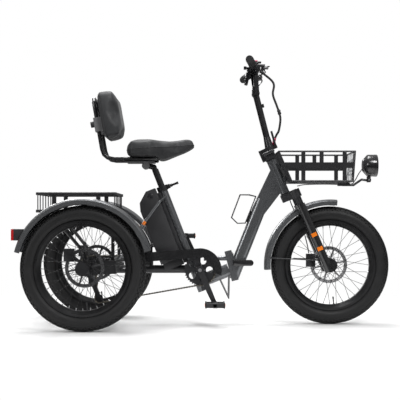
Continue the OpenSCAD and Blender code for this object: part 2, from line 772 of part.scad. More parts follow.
module derailleur() {
    y = chain_y;
    color("#2a2b2c") {
        // hanger, linkage body and the cage plates
        side_plate([[rear_x - 8, axle_z - 28], [rear_x + 16, axle_z - 28], [rear_x + 24, axle_z - 84],
            [rear_x, axle_z - 84]], 6, -plate_y[0] + plate_t + seat_gap);
        along_y(rear_x + 12, (y - 8 - plate_y[0] + 9) / 2, axle_z - 74, plate_y[0] - 9 + y + 8, 22);
        for (k = [-1, 1]) cage_plate(y + k * 7.5);
    }
    color("#111112") for (c = [guide_pulley, tension_pulley]) translate([c[0], y, c[1]]) difference() {
        rotate([90, 0, 0]) cylinder(h = 2.6, r = pulley_r - 4.4, center = true);
        along_y(0, 0, 0, 10, 5.2);
    }
    color("silver") for (c = [guide_pulley, tension_pulley]) along_y(c[0], y, c[1], 12.4, 5);
}
module cage_plate(y) {
    for (c = [guide_pulley, tension_pulley]) along_y(c[0], y, c[1], 2.4, 24);
    side_plate([[guide_pulley[0] - 10, guide_pulley[1]], [guide_pulley[0] + 10, guide_pulley[1] + 8],
        [tension_pulley[0] + 10, tension_pulley[1]],
            [tension_pulley[0] - 10, tension_pulley[1] - 4]], 2.4, y);
}

module rear_calipers() {
    for (s = [-1, 1]) color("#202122") {
        y = s * disc_y;
        difference() {
            union() {
                translate([rear_x - 92, y - 16, axle_z + 30]) cube([46, 32, 56]);
                side_plate([[rear_x - 50, axle_z + 32], [rear_x - 50, axle_z + 56],
                    [rear_x - 20, axle_z + 32],
                    [rear_x - 22, axle_z + 20]], 4, s * (plate_y[1] + plate_t / 2 + seat_gap + 2));
            }
            translate([rear_x, y, axle_z]) rotate([90, 0, 0])
                cylinder(h = disc_t + 3, r = disc_r + 2, center = true, $fn = 96);
        }
    }
}

module drive_motor() {
    // geared motor beside the differential, held between the two inner plates
    color("#232425") difference() {
        union() {
            along_y(cross_x - cross_w / 2 - seat_gap - 29, 67, cross_z, 69, 58);
            along_y(cross_x - cross_w / 2 - seat_gap - 29, 31, cross_z, 6, 46);
        }
        along_y(rear_x, 0, axle_z, 300, 80 + 4);
    }
}

module bearing_ring(x, y, z, outer, inner, t) {
    difference() {
        along_y(x, y, z, t, outer);
        along_y(x, y, z, t + 2, inner);
    }
}

module bearings() {
    color("silver") {
        for (s = [-1, 1], y = plate_y) bearing_ring(rear_x, s * y, axle_z, bearing_d - 2 * run_gap,
            shaft_d + 2 * run_gap, 12);
        bearing_ring(bb_x, 0, bb_z, bb_bore_d - 2 * run_gap, bb_axle_d + 2 * run_gap, bb_shell_w);
    }
}

module folding_stand() {
    // bent-rod foot under the beam, which the folded tricycle stands on
    low_x = hinge_x - 12;
    color("#6a6c6d") for (s = [-1, 1]) difference() {
        bent_bar([[low_x - 44, s * 16, 214], [low_x - 2, s * 26, 124], [low_x - 2, 0, 124]], 8);
        lower_envelope();
    }
    color("#6a6c6d") for (s = [-1, 1]) difference() {
        rod([low_x - 2, s * 26, 124 + seat_gap + 4], [low_x, s * 18, 240], 8);
        lower_envelope();
    }
}
module lower_envelope() {
    beam([beam_low_x + 12, 0, beam_low_z],
        [hinge_x - 12, 0, hinge_z - 20], beam_w + 2 * seat_gap, beam_d + 2 * seat_gap, 20);
    hinge_plate(-1);
}

// ---- seat ----------------------------------------------------------------------------------

seat_head = from_seat([0, 0, 505]);
clamp_x = seat_head[0] - 38;
clamp_z = seat_head[2] + 20;
hoop_z = clamp_z + 26;
hoop_lean = 9.9;
hoop_corner_x = clamp_x - 197;
hoop_front_x = clamp_x + 44;
hoop_top = 288;
plate_z = hoop_z - hoop_d / 2 - 4 - seat_gap;

module seat_post() {
    color("#2c2d2e") {
        in_seat() translate([0, 0, 200]) cylinder(h = 305, d = post_d);
        bent_bar([seat_head - [0, 0, 4], seat_head + [-6, 0, 12], [clamp_x - 4, 0, clamp_z]], 26);
    }
}

module saddle_clamp() {
    color("#b9babb") difference() {
        along_y(clamp_x - 6, 0, clamp_z - 1, 40, 36);
        bent_bar([seat_head - [0, 0, 4], seat_head + [-6, 0, 12], [clamp_x - 6, 0, clamp_z],
            [clamp_x - 30, 0, clamp_z]], 26 + 2 * seat_gap);
        translate([clamp_x - 60, -60, plate_z - seat_gap]) cube([120, 120, 60]);
    }
    // carrier plate under the saddle, which the hoop is fixed on
    color("#202122") translate([hoop_front_x - 140, -hoop_w / 2 - 10, plate_z]) cube([132, hoop_w + 20, 4]);
}

module backrest_hoop() {
    y = hoop_w / 2;
    up = [-sin(hoop_lean), 0, cos(hoop_lean)];
    base = [hoop_corner_x, 0, hoop_z];
    path = rounded([[hoop_front_x, -y, hoop_z], base + [0, -y, 0], base + hoop_top * up + [0, -y, 0],
        base + hoop_top * up + [0, y, 0], base + [0, y, 0], [hoop_front_x, y, hoop_z]], 46);
    color("#1a1a1b") for (i = [0:len(path) - 2]) hull() {
        translate(path[i]) sphere(d = hoop_d, $fn = 28);
        translate(path[i + 1]) sphere(d = hoop_d, $fn = 28);
    }
}

module in_hoop() { translate([hoop_corner_x, 0, hoop_z]) rotate([0, -hoop_lean, 0]) children(); }

pad_low = 92;
pad_high = 306;
bracket_front = hoop_d / 2 + 12;

module backrest_bracket() {
    color("#5f6162") in_hoop() {
        difference() {
            translate([-hoop_d / 2 - 6, -hoop_w / 2 - hoop_d / 2 - 6, 128])
                cube([hoop_d + 18, hoop_w + hoop_d + 12, 66]);
            for (s = [-1, 1]) translate([0, s * hoop_w / 2, 0]) cylinder(h = 400, d = hoop_d + 2 * run_gap);
            translate([-hoop_d / 2 - 7, -hoop_w / 2 + 24, 120]) cube([hoop_d + 8, hoop_w - 48, 90]);
        }
    }
    // clamp knob on the back of the bracket's right end
    color("#141415") in_hoop() translate([-hoop_d / 2 - 6 - seat_gap, -hoop_w / 2, 165])
        rotate([0, -90, 0]) cylinder(h = 16, d = 28);
}

module backrest_pad() {
    color("#2f3031") in_hoop() translate([bracket_front + seat_gap, 0, (pad_low + pad_high) / 2])
        rotate([0, 90, 0])
        linear_extrude(pad_t) round_rect(pad_high - pad_low, pad_w, 34);
}

saddle_nose_x = clamp_x + 229;
module saddle() {
    back = saddle_nose_x - saddle_l;
    low = hoop_z + hoop_d / 2 + seat_gap;
    top = hoop_z + 92;
    w = saddle_w / 2;
    color("#2d2e2f") intersection() {
        side_plate([[back, low + 14], [back + 14, low], [hoop_front_x + 6, low],
            [hoop_front_x + 14, low - 14],
            [hoop_front_x + 40, low - 13], [saddle_nose_x, low + 42], [saddle_nose_x - 10, top - 6],
                [saddle_nose_x - 30, top],
            [back + 200, top - 14], [back + 110, top - 7], [back + 20, top - 9],
                [back, top - 30]], saddle_w);
        translate([0, 0, low - 40]) linear_extrude(200) polygon([for (s = [-1, 1]) each s < 0
            ? [[back, -w * 0.7], [back + 20, -w], [back + 110, -w], [back + 170, -w * 0.62],
                [back + 240, -w * 0.34], [saddle_nose_x, -w * 0.24]]
            : [[saddle_nose_x, w * 0.24], [back + 240, w * 0.34], [back + 170, w * 0.62],
                [back + 110, w], [back + 20, w], [back, w * 0.7]]]);
    }
}

// ---- front frame ---------------------------------------------------------------------------

headset_bore = 36;
down_w = 62;
down_d = 46;
down_top = [head_x - 105, 0, head_z - 33];
down_low = [hinge_x + 6, 0, hinge_z - 50];
down_lean = atan2(down_top[0] - down_low[0], down_top[2] - down_low[2]);
gusset_low = 16;
gusset_high = 138;
mount_reach = 31;     // basket mounts, ahead of the steering axis
mount_z = [62, 132];

module front_frame() {
    edge = [cos(down_lean), 0, -sin(down_lean)] * (down_w / 2);
    corners = [from_steering([-8, 0, gusset_low]), from_steering([-8, 0, gusset_high]),
        down_top - edge - [26, 0, 60], down_top + edge - [26, 0, 60]];
    color("#6d6f70") difference() {
        union() {
            in_steering() cylinder(h = head_l, d = head_d);
            difference() {
                beam(down_low, down_top, down_w, down_d, 22);
                in_hinge() translate([-300 + hinge_t - 2, -100, -200]) cube([300, 200, 400]);
            }
            side_plate([for (c = corners) [c[0], c[2]]], 38);
            hinge_plate(1);
            knuckle(1, -26 + seat_gap, 26 - seat_gap);
            // lugs that carry the basket
            for (z = mount_z) in_steering() translate([0, -12, z - 11]) cube([mount_reach, 24, 22]);
        }
        in_steering() translate([0, 0, -1]) cylinder(h = head_l + 2, d = headset_bore);
        translate([hinge_x, hinge_pin_y, hinge_z - 80]) cylinder(h = 160, d = hinge_pin_d + 2 * run_gap);
        hinge_room(-1);
    }
    // bracket and pin for the frame latch
    color("#2b2b2c") difference() {
        translate([latch_x - 9, latch_y + 2, latch_z - 22]) cube([18, -hinge_w / 2 + 6 - latch_y, 44]);
        translate([latch_x - 12, latch_y - 20, latch_z - 14.5]) cube([24, 40, 29]);
    }
    color("silver") translate([latch_x, latch_y + 6, latch_z - 22]) cylinder(h = 44, d = 6);
}
latch_x = hinge_x + 12;
latch_y = -44;
latch_z = hinge_z + 14;
latch_l = 76;

module frame_latch() {
    color("#161617") difference() {
        union() {
            translate([latch_x, latch_y + 6, latch_z - 14]) cylinder(h = 28, d = 14);
            translate([latch_x, latch_y - 1, latch_z - 14]) cube([latch_l, 12, 28]);
            translate([latch_x + latch_l, latch_y + 11, latch_z]) rotate([90, 0, 0])
                cylinder(h = 12, d = 28);
        }
        translate([latch_x, latch_y + 6, latch_z - 30]) cylinder(h = 60, d = 6 + 2 * run_gap);
    }
}

module headset() {
    flange_d = head_d + 4;
    color("#3a3b3c") in_steering() for (e = [[-4.3, 14], [head_l - 14, head_l + 4.3]]) difference() {
        union() {
            translate([0, 0, e[0]]) cylinder(h = e[1] - e[0], d = headset_bore - 2 * run_gap);
            translate([0, 0, e[0] < 0 ? e[0] : head_l + seat_gap]) cylinder(h = 4, d = flange_d);
        }
        translate([0, 0, e[0] - 1]) cylinder(h = e[1] - e[0] + 2, d = steerer_d + 2 * run_gap);
    }
}

// basket: rails of round rod, flat side bands, corner posts and a floor grid
basket_rod = 8;
basket_back = 37;       // back face, ahead of the steering axis
basket_top = 806;
basket_floor = basket_top - basket_h;
basket_front_x = basket_x(basket_top) + basket_l;
basket_y = basket_w / 2 - basket_rod / 2;
function basket_x(z) = head_x + basket_back / cos(rake) - (z - head_z) * tan(rake);
function basket_nose(z) = basket_front_x - 10 * (basket_top - z) / basket_h;

module basket_ring(z, d) {
    bent_bar([[basket_x(z), -basket_y, z], [basket_nose(z), -basket_y, z], [basket_nose(z), basket_y, z],
        [basket_x(z), basket_y, z], [basket_x(z), -basket_y, z]], d);
    for (s = [-1, 1]) translate([basket_x(z), s * basket_y, z]) sphere(d = d * 1.04);
}

module basket() {
    wire = 5;
    color("#1c1c1d") {
        basket_ring(basket_top, basket_rod);
        basket_ring(basket_floor, basket_rod);
        for (s = [-1, 1]) {
            y = s * basket_y;
            // corner posts
            rod([basket_x(basket_floor), y, basket_floor],
                [basket_x(basket_top), y, basket_top], basket_rod);
            rod([basket_nose(basket_floor), y, basket_floor],
                [basket_nose(basket_top), y, basket_top], basket_rod);
            // flat bands of the side
            mid = (basket_floor + basket_top) / 2 + 5;
            translate([basket_x(mid), y - 1.25, mid - 13])
                cube([basket_nose(mid) - basket_x(mid), 2.5, 26]);
            for (x = [basket_x(basket_floor) + 44, basket_nose(basket_floor) - 48])
                translate([x, y - 1.25, basket_floor]) cube([19, 2.5, basket_h]);
            translate([(basket_x(mid) + basket_nose(mid)) / 2, y - 1.25, mid])
                cube([19, 2.5, basket_top - mid]);
        }
        // back and front wires
        for (i = [-2:2]) {
            y = i * basket_w / 6;
            rod([basket_x(basket_floor), y, basket_floor], [basket_x(basket_top), y, basket_top], wire);
            rod([basket_nose(basket_floor), y, basket_floor],
                [basket_nose(basket_top), y, basket_top], wire);
        }
        // floor grid
        for (i = [-3:3]) rod([basket_x(basket_floor), i * basket_w / 8, basket_floor],
            [basket_nose(basket_floor), i * basket_w / 8, basket_floor], wire);
        for (i = [1:5]) {
            x = basket_x(basket_floor) + i * (basket_nose(basket_floor) - basket_x(basket_floor)) / 6;
            rod([x, -basket_y, basket_floor], [x, basket_y, basket_floor], wire);
        }
    }
    // plate that fixes the basket on the head tube's lugs
    color("#2b2b2c") in_steering() translate([mount_reach + seat_gap, -30, mount_z[0] - 14])
        cube([basket_back - mount_reach - wire / 2 + 1, 60, mount_z[1] - mount_z[0] + 28]);
    // light name-plate like panel at the front, with slots
    color("#c9cacb") difference() {
        translate([basket_nose(basket_floor + 60) + wire / 2 + 1.6, -70, basket_floor + 30])
            cube([2, 140, 76]);
        for (i = [0:3]) translate([basket_nose(basket_floor) - 20, -55, basket_floor + 40 + i * 16])
            cube([60, 110, 7]);
    }
}

lamp_axis_x = basket_front_x + 92;
lamp_axis_z = 748;
lamp_pivot_z = lamp_axis_z - 68;

module headlight_arm() {
    color("#1b1b1c") {
        bent_bar([[basket_nose(basket_floor) - 30, 0, basket_floor - 14],
            [basket_nose(basket_floor) + 24, 0, basket_floor - 14],
            [basket_front_x + 52, 0, lamp_pivot_z + 2], [lamp_axis_x - 14, 0, lamp_pivot_z - 2]], 11);
        translate([basket_nose(basket_floor) - 50, -16,
            basket_floor - basket_rod / 2 - seat_gap - 14]) cube([56, 32, 14]);
        difference() {
            along_y(lamp_axis_x - 6, 0, lamp_pivot_z, 12, 22);
            along_y(lamp_axis_x - 6, 0, lamp_pivot_z, 14, 6 + 2 * run_gap);
        }
    }
}

module headlight() {
    r = 52;
    x = lamp_axis_x - 36;
    color("#161617") {
        translate([x, 0, lamp_axis_z]) rotate([0, 90, 0]) difference() {
            union() {
                cylinder(h = 24, r1 = 26, r2 = r);
                translate([0, 0, 24]) cylinder(h = 44, r = r);
            }
            translate([0, 0, 30]) cylinder(h = 60, r = r - 5);
        }
        difference() {
            for (s = [-1, 1]) translate([lamp_axis_x - 15, s * 9.2 - 3, lamp_pivot_z - 8])
                cube([18, 6, 30]);
            along_y(lamp_axis_x - 6, 0, lamp_pivot_z, 40, 6 + 2 * run_gap);
        }
    }
    color("silver") along_y(lamp_axis_x - 6, 0, lamp_pivot_z, 28, 6);
    // lens
    color("#dfe6ea") translate([x + 62, 0, lamp_axis_z]) rotate([0, 90, 0])
        cylinder(h = 4, r = r - 5 - seat_gap);
}

module bottle_cage() {
    // rod cage on the rider's side of the down tube
    t = 5;
    low = 255;
    high = 370;
    color("#1d1d1e") translate(down_low)
        rotate([0, down_lean, 0]) translate([-down_w / 2 - seat_gap, 0, 0]) {
        translate([-4, -12, 262]) cube([4, 24, 57]);
        for (s = [-1, 1]) bent_bar([[-6, s * 9, high + 20], [-6, s * 9, low], [-40, s * 22, low - 15],
            [-76, s * 20, low], [-78, s * 24, high], [-40, s * 34, high + 15], [-6, s * 9, high + 20]], t);
        rod([-76, -20, low], [-76, 20, low], t);
        rod([-78, -24, high], [-78, 24, high], t);
        rod([-6, -9, low], [-6, 9, low], t);
        for (s = [-1, 1]) translate([-6, s * 9, high + 20]) sphere(d = t * 1.04);
    }
}

// ---- fork ----------------------------------------------------------------------------------

leg_low = -crown_drop - 22;

module fork_crown() {
    top = stem_plane - 10;
    color("#232425") in_steering() difference() {
        union() {
            translate([0, 0, -30]) cylinder(h = top + 30, d = steerer_d);
            for (s = [-1, 1]) translate([leg_ahead, s * leg_y, crown_low])
                cylinder(h = -crown_low - 2, d = leg_d + 4);
            translate([0, 0, crown_low]) linear_extrude(-crown_low - 5) {
                circle(d = 56);
                polygon([[-22, -16], [-22, 16], [leg_ahead - 18, leg_y + 10], [leg_ahead + 16, leg_y + 10],
                    [30, 0], [leg_ahead + 16, -leg_y - 10], [leg_ahead - 18, -leg_y - 10]]);
            }
        }
        for (s = [-1, 1]) translate([leg_ahead, s * leg_y, crown_low - 1])
            cylinder(h = 26, d = stanchion_d + 2 * run_gap);
    }
    // sliding tubes, clamped in the crown
    color("silver") in_steering() for (s = [-1, 1]) translate([leg_ahead, s * leg_y, leg_low + 62])
        cylinder(h = crown_low + 24 - leg_low - 62, d = stanchion_d);
    // lower half of the handlepost hinge, clamped on the steerer
    color("#2b2c2d") in_steering() difference() {
        union() {
            stem_block(head_l + 5, stem_plane - seat_gap / 2);
            for (x = [-26, 10]) stem_knuckle(x, 16);
        }
        translate([-10, stem_pin_y, stem_plane]) rotate([0, 90, 0])
            cylinder(h = 20, d = stem_knuckle_d + 1);
        translate([0, 0, head_l]) cylinder(h = 26.2, d = steerer_d + 2 * run_gap);
    }
    color("silver") in_steering() translate([-30, stem_pin_y, stem_plane]) rotate([0, 90, 0])
        cylinder(h = 60, d = stem_pin_d);
}
stem_pin_y = -38;
stem_pin_d = 8;
stem_knuckle_d = 18;

// body of the handlepost hinge between two heights of the steering frame
module stem_block(z1, z2) {
    translate([0, 0, z1]) linear_extrude(z2 - z1) {
        intersection() {
            circle(r = 30);
            square([60, 56], center = true);
        }
        translate([-38, -14]) square([30, 28]);
    }
}

// one knuckle from x, with its web into the block
module stem_knuckle(x, w, up = -1) {
    translate([x, stem_pin_y, stem_plane]) rotate([0, 90, 0]) cylinder(h = w, d = stem_knuckle_d);
    translate([x, stem_pin_y, up < 0 ? stem_plane - 9 : stem_plane + seat_gap]) cube([w, 26, 9 - seat_gap]);
}

module fork_lowers() {
    dropout = [fork_offset, leg_y, -crown_drop];
    color("#1b1b1c") in_steering() {
        for (s = [-1, 1]) difference() {
            union() {
                translate([leg_ahead, s * leg_y, leg_low]) cylinder(h = leg_top - leg_low, d = leg_d);
                translate([leg_ahead, s * leg_y - 8, -crown_drop - 20])
                    cube([fork_offset - leg_ahead, 16, 40]);
                translate([fork_offset, s * leg_y, -crown_drop]) rotate([90, 0, 0])
                    cylinder(h = 16, d = 40, center = true);
            }
            translate([leg_ahead, s * leg_y, leg_low + 30])
                cylinder(h = 500, d = stanchion_d + 2 * run_gap);
            translate([fork_offset, s * leg_y, -crown_drop]) rotate([90, 0, 0])
                cylinder(h = 60, d = front_axle_d + 2 * run_gap, center = true);
        }
        // bridge between the legs, above the fender
        difference() {
            translate([leg_ahead - 16, -leg_y, leg_top - 10.5]) cube([28, 2 * leg_y, 10.5]);
            for (s = [-1, 1]) translate([leg_ahead, s * leg_y, leg_top - 20])
                cylinder(h = 30, d = leg_d + 2 * seat_gap);
        }
    }
    // axle with its end nuts
    color("silver") {
        along_y(front_x, 0, axle_z, 2 * leg_y + 50, front_axle_d);
        for (s = [-1, 1]) along_y(front_x, s * (leg_y + 8 + seat_gap + 6), axle_z, 12, 26);
    }
    // reflectors on both legs
    color("#e07a18") in_steering() for (s = [-1, 1], z = [-230, -300]) difference() {
        translate([leg_ahead - 13, s > 0 ? leg_y + leg_d / 2 - 4 : -leg_y - leg_d / 2 - 2, z - 9])
            cube([26, 6, 18]);
        translate([leg_ahead, s * leg_y, z - 30]) cylinder(h = 60, d = leg_d + 0.2);
    }
}

module front_fender() {
    half = tyre_w / 2 + 6;
    color("#8a8c8d") translate([front_x, 0, axle_z])
        around_axle(angle = 100, from = 84, $fn = 96) fender_section(half);
    // stays from the dropouts up to the fender's rear part
    color("#2b2b2c") for (s = [-1, 1]) bent_bar([
        [front_x - 34, s * (leg_y - leg_d / 2 - 2.8), axle_z + 10],
            [front_x - 60, s * (half + 3.2), axle_z + 24],
        [front_x - 292, s * (half + 3.2), axle_z + 36]], 5);
}

module front_caliper() {
    front_disc_y = hub_half + hub_flange_t / 2 + 5.3;
    color("#202122") difference() {
        union() {
            translate([front_x - 108, front_disc_y - 8, axle_z - 10]) cube([44, 17.5, 62]);
            translate([front_x - 70, front_disc_y + 3, axle_z + 31]) cube([26, 20, 21]);
        }
        translate([front_x, front_disc_y, axle_z]) rotate([90, 0, 0])
            cylinder(h = disc_t + 3, r = disc_r + 2, center = true, $fn = 96);
        in_steering() translate([leg_ahead, leg_y, -600]) cylinder(h = 600, d = leg_d + 2 * seat_gap);
    }
}

// ---- handlepost and handlebar --------------------------------------------------------------

post_base = from_steering([13, 0, stem_plane]);
post_tube_d = 30;
pivot = post_base + handlepost_l * [-sin(post_lean), 0, cos(post_lean)];
barrel_d = 36;
barrel_w = 32;
ear_t = 8.4;
ear_y = barrel_w / 2 + run_gap + ear_t / 2;
riser_lean = 3;
bar_d = 24;
bar_sweep = 8;
riser_top = pivot + riser_l * [-sin(riser_lean), 0, cos(riser_lean)];
function bar_at(y) = [riser_top[0] - max(0, abs(y) - 45) * tan(bar_sweep), y, riser_top[2]];

module handlepost() {
    color("#1b1c1d") difference() {
        union() {
            in_steering() {
                stem_block(stem_plane + seat_gap / 2, stem_plane + 26);
                stem_knuckle(-9.7, 19.4, 1);
                // ears that hold the latch pin
                for (s = [-1, 1]) translate([18, s * 12.8 - 2.5, stem_plane + 7])
                    cube([latch_reach - 12, 5, 16]);
            }
            translate(post_base) rotate([0, -post_lean, 0]) {
                translate([0, 0, 14]) cylinder(h = 60, d1 = 44, d2 = post_tube_d + 1);
                translate([0, 0, 60]) cylinder(h = handlepost_l - 60, d = post_tube_d);
                // cable guide lugs
                for (s = [-1, 1]) translate([10, s * 8 - 2, handlepost_l * 0.75]) cube([14, 4, 16]);
            }
            along_y(pivot[0], 0, pivot[2], barrel_w, barrel_d);
        }
        in_steering() for (x = [-26, 10]) translate([x - seat_gap, stem_pin_y, stem_plane])
            rotate([0, 90, 0])
            cylinder(h = 16 + 2 * seat_gap, d = stem_knuckle_d + 1);
        in_steering() translate([-40, stem_pin_y, stem_plane]) rotate([0, 90, 0])
            cylinder(h = 80, d = stem_pin_d + 2 * run_gap);
        along_y(pivot[0], 0, pivot[2], 60, 8 + 2 * run_gap);
        translate([latch_pin[0], 0, latch_pin[2]]) rotate([90, 0, 0])
            cylinder(h = 20, d = 18, center = true);
    }
    // pivot bolt with its lever, and the latch pin
    color("silver") {
        along_y(pivot[0], 0, pivot[2], 60, 8);
        along_y(latch_pin[0], 0, latch_pin[2], 30, 6);
    }
    color("#161617") translate([pivot[0] - 7, -36, pivot[2] - 10]) cube([14, 6, 48]);
}
latch_reach = 46;
latch_pin = from_steering([latch_reach, 0, stem_plane + 15]);

module stem_latch() {
    color("#161617") translate(latch_pin) rotate([0, -post_lean - 2, 0]) difference() {
        union() {
            along_y(0, 0, 0, 16, 13);
            translate([-4, -8, 0]) cube([9, 16, 76]);
        }
        along_y(0, 0, 0, 20, 6 + 2 * run_gap);
    }
}

module handlebar() {
    side = rounded([bar_at(0), bar_at(45), bar_at(bar_w / 2)], 12);
    color("#1b1c1d") difference() {
        union() {
            for (s = [-1, 1]) translate([pivot[0], s * ear_y, pivot[2]]) rotate([0, -riser_lean, 0]) {
                rotate([90, 0, 0]) cylinder(h = ear_t, d = barrel_d, center = true);
                translate([-16, -ear_t / 2, 0]) cube([32, ear_t, 34]);
            }
            translate(pivot) rotate([0, -riser_lean, 0]) {
                translate([-16, -ear_y - ear_t / 2, 20]) cube([32, 2 * ear_y + ear_t, 14]);
                translate([0, 0, 20]) cylinder(h = riser_l - 20, d = 34);
            }
            along_y(riser_top[0], 0, riser_top[2], 50, 44);
        }
        along_y(riser_top[0], 0, riser_top[2], 60, bar_d + 2 * run_gap);
        along_y(pivot[0], 0, pivot[2], 80, 8 + 2 * run_gap);
    }
    color("#2a2b2c") {
        bent_bar(side, bar_d);
        bent_bar([for (p = side) [p[0], -p[1], p[2]]], bar_d);
    }
}

module on_bar(y, w, d) {
    // a round piece of width w around the bar at y
    s = sign(y);
    translate(bar_at(y)) rotate([0, 0, s * bar_sweep]) rotate([90, 0, 0])
        cylinder(h = w, d = d, center = true);
}

grip_l = 128;
module grips() {
    color("#1a1a1b") for (s = [-1, 1]) difference() {
        on_bar(s * (bar_w / 2 - grip_l / 2 + 3), grip_l, 34);
        on_bar(s * (bar_w / 2 - grip_l / 2 - 38), grip_l + 80, bar_d + 0.2);
    }
}

lever_y = 166;
lever_fwd = 46;
lever_drop = 16;
display_y = -78;
function lever_at(s) = bar_at(s * lever_y) + [lever_fwd, 0, -lever_drop];

module bar_controls() {
    color("#1b1b1c") {
        // brake lever holders
        for (s = [-1, 1]) difference() {
            union() {
                on_bar(s * lever_y, 22, 38);
                translate(bar_at(s * lever_y) + [10, -11, -lever_drop - 9]) cube([lever_fwd, 22, 26]);
            }
            on_bar(s * lever_y, 40, bar_d + 2 * run_gap);
            translate(lever_at(s) - [11, 20, 7.2]) cube([40, 40, 14.4]);
        }
        // bell on the left and display behind the stem
        difference() {
            on_bar(92, 12, 34);
            on_bar(92, 20, bar_d + 2 * run_gap);
        }
        translate(bar_at(92) + [34, 0, -20]) sphere(d = 32);
        translate(bar_at(92) + [13, -4, -12]) cube([17, 8, 8]);
        difference() {
            union() {
                on_bar(display_y, 12, 34);
                translate(bar_at(display_y) + [-34, -6, -10]) cube([22, -display_y - 26, 8]);
                translate(bar_at(0) + [-46, -34, -66]) rotate([0, 12, 0]) cube([14, 68, 64]);
            }
            on_bar(display_y, 20, bar_d + 2 * run_gap);
            along_y(riser_top[0], 0, riser_top[2], 50.6, 44.6);
            translate(pivot) rotate([0, -riser_lean, 0]) cylinder(h = riser_l, d = 34.6);
        }
    }
    color("silver") for (s = [-1, 1]) translate(lever_at(s) - [0, 0, 12]) cylinder(h = 24, d = 5);
}

module brake_lever(s) {
    color("#b9babb") difference() {
        translate(lever_at(s)) {
            translate([0, 0, -6]) cylinder(h = 12, d = 16);
            bent_bar([[1, s * 3, 0], [20, s * 26, -4], [16, s * 70, -10], [10, s * 128, -14]], 11);
        }
        translate(lever_at(s) - [0, 0, 20]) cylinder(h = 40, d = 5 + 2 * run_gap);
    }
}
module brake_lever_right() { brake_lever(-1); }
module brake_lever_left() { brake_lever(1); }

throttle_y = -132;
module throttle_lever() {
    color("#b0203a") difference() {
        union() {
            on_bar(throttle_y, 10, 40);
            translate(bar_at(throttle_y) + [-40, -5, -14]) cube([30, 10, 8]);
            translate(bar_at(throttle_y) + [-44, -16, -16]) cube([12, 26, 12]);
        }
        on_bar(throttle_y, 20, bar_d + 2 * run_gap);
    }
}

// ---- cables --------------------------------------------------------------------------------

module cable_bundle() {
    // sleeve of cables from the handlebar down to the head tube, ahead of the stem
    from = bar_at(0) + [22 + 4, 12, 0];
    path = rounded([from + [6, 26, 0], [from[0] + 62, 20, from[2] - 6], [pivot[0] + 85, 16, pivot[2] + 38],
        [pivot[0] + 82, 14, pivot[2] - 8], [pivot[0] + 120, 14, pivot[2] - 84],
            [pivot[0] + 120, 14, pivot[2] - 124],
        [head_x - 30, 22, basket_top + 92], [head_x - 50, 26, basket_top + 52]], 14);
    color("#141415") bent_bar(path, 11);
}

module cable_lower() {
    color("#141415") bent_bar(rounded([[head_x - 50.7, 26.3, basket_top + 50.3],
        [head_x - 56, 30, basket_top + 10],
        from_steering([18, 27, head_l - 20]), from_steering([6, 27, 60]), from_steering([-30, 27, 20])],
            12), 9);
}

seat_tube();
lower_beam();
rear_subframe();
frame_stays();
rear_fenders();
tail_lights();
rear_rack();
battery_dock();
chain_guard();
chain();
folding_stand();
seat_clamp();
derailleur();
rear_calipers();
drive_motor();
bearings();
battery_case();
battery_cells();
seat_post();
saddle_clamp();
saddle();
backrest_hoop();
backrest_bracket();
backrest_pad();
seat_clamp_lever();
crankset();
chainring();
pedal_right();
pedal_left();
cassette();
rear_right_tyre();
rear_right_rim();
rear_right_hub();
rear_left_tyre();
rear_left_rim();
rear_left_hub();
front_tyre();
front_rim();
front_hub();
front_frame();
headset();
basket();
headlight_arm();
bottle_cage();
frame_latch();
headlight();
fork_crown();
fork_lowers();
front_fender();
front_caliper();
handlepost();
stem_latch();
handlebar();
grips();
bar_controls();
brake_lever_right();
brake_lever_left();
throttle_lever();
cable_bundle();
cable_lower();
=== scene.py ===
"""Looks of the adult tricycle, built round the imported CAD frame.

Units are metres. +X is forward, +Y the rider's left, +Z up, and z = 0 is the ground.
"""

import json
import math
from math import cos, pi, radians, sin, tan

import bmesh
import bpy
import numpy as np
from mathutils import Matrix, Vector


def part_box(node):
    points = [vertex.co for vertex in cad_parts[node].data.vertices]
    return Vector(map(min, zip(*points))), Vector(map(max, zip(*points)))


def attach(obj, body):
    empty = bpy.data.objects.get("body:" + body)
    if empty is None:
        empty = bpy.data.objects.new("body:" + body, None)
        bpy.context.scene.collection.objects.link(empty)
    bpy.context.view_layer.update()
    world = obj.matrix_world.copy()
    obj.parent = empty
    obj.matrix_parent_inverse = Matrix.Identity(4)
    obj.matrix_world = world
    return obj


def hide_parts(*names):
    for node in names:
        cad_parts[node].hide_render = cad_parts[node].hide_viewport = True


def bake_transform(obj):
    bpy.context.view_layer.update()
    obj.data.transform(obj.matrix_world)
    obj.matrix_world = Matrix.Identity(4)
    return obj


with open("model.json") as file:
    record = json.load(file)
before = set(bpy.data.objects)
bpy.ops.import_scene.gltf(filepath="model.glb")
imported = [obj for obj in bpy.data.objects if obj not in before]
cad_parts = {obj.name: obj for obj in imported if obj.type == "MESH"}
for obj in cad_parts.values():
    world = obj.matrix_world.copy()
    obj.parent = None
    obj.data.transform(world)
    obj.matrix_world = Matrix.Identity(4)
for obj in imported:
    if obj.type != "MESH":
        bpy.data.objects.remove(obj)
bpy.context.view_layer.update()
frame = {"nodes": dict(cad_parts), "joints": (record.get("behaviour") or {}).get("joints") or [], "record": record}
NODES = frame["nodes"]
JOINTS = {j["name"]: j for j in frame["joints"]}
MM = 0.001


# ---- small helpers --------------------------------------------------------------------------


def mm(x, y, z):
    return Vector((x, y, z)) * MM


def unit(v):
    return Vector(v).normalized()


def joint_place(name):
    return Vector(JOINTS[name]["pos_m"])


def new_object(name, verts, faces, smooth=True):
    mesh = bpy.data.meshes.new(name)
    mesh.from_pydata([tuple(v) for v in verts], [], faces)
    mesh.update()
    obj = bpy.data.objects.new(name, mesh)
    bpy.context.scene.collection.objects.link(obj)
    if smooth:
        mesh.polygons.foreach_set("use_smooth", [True] * len(mesh.polygons))
    return obj


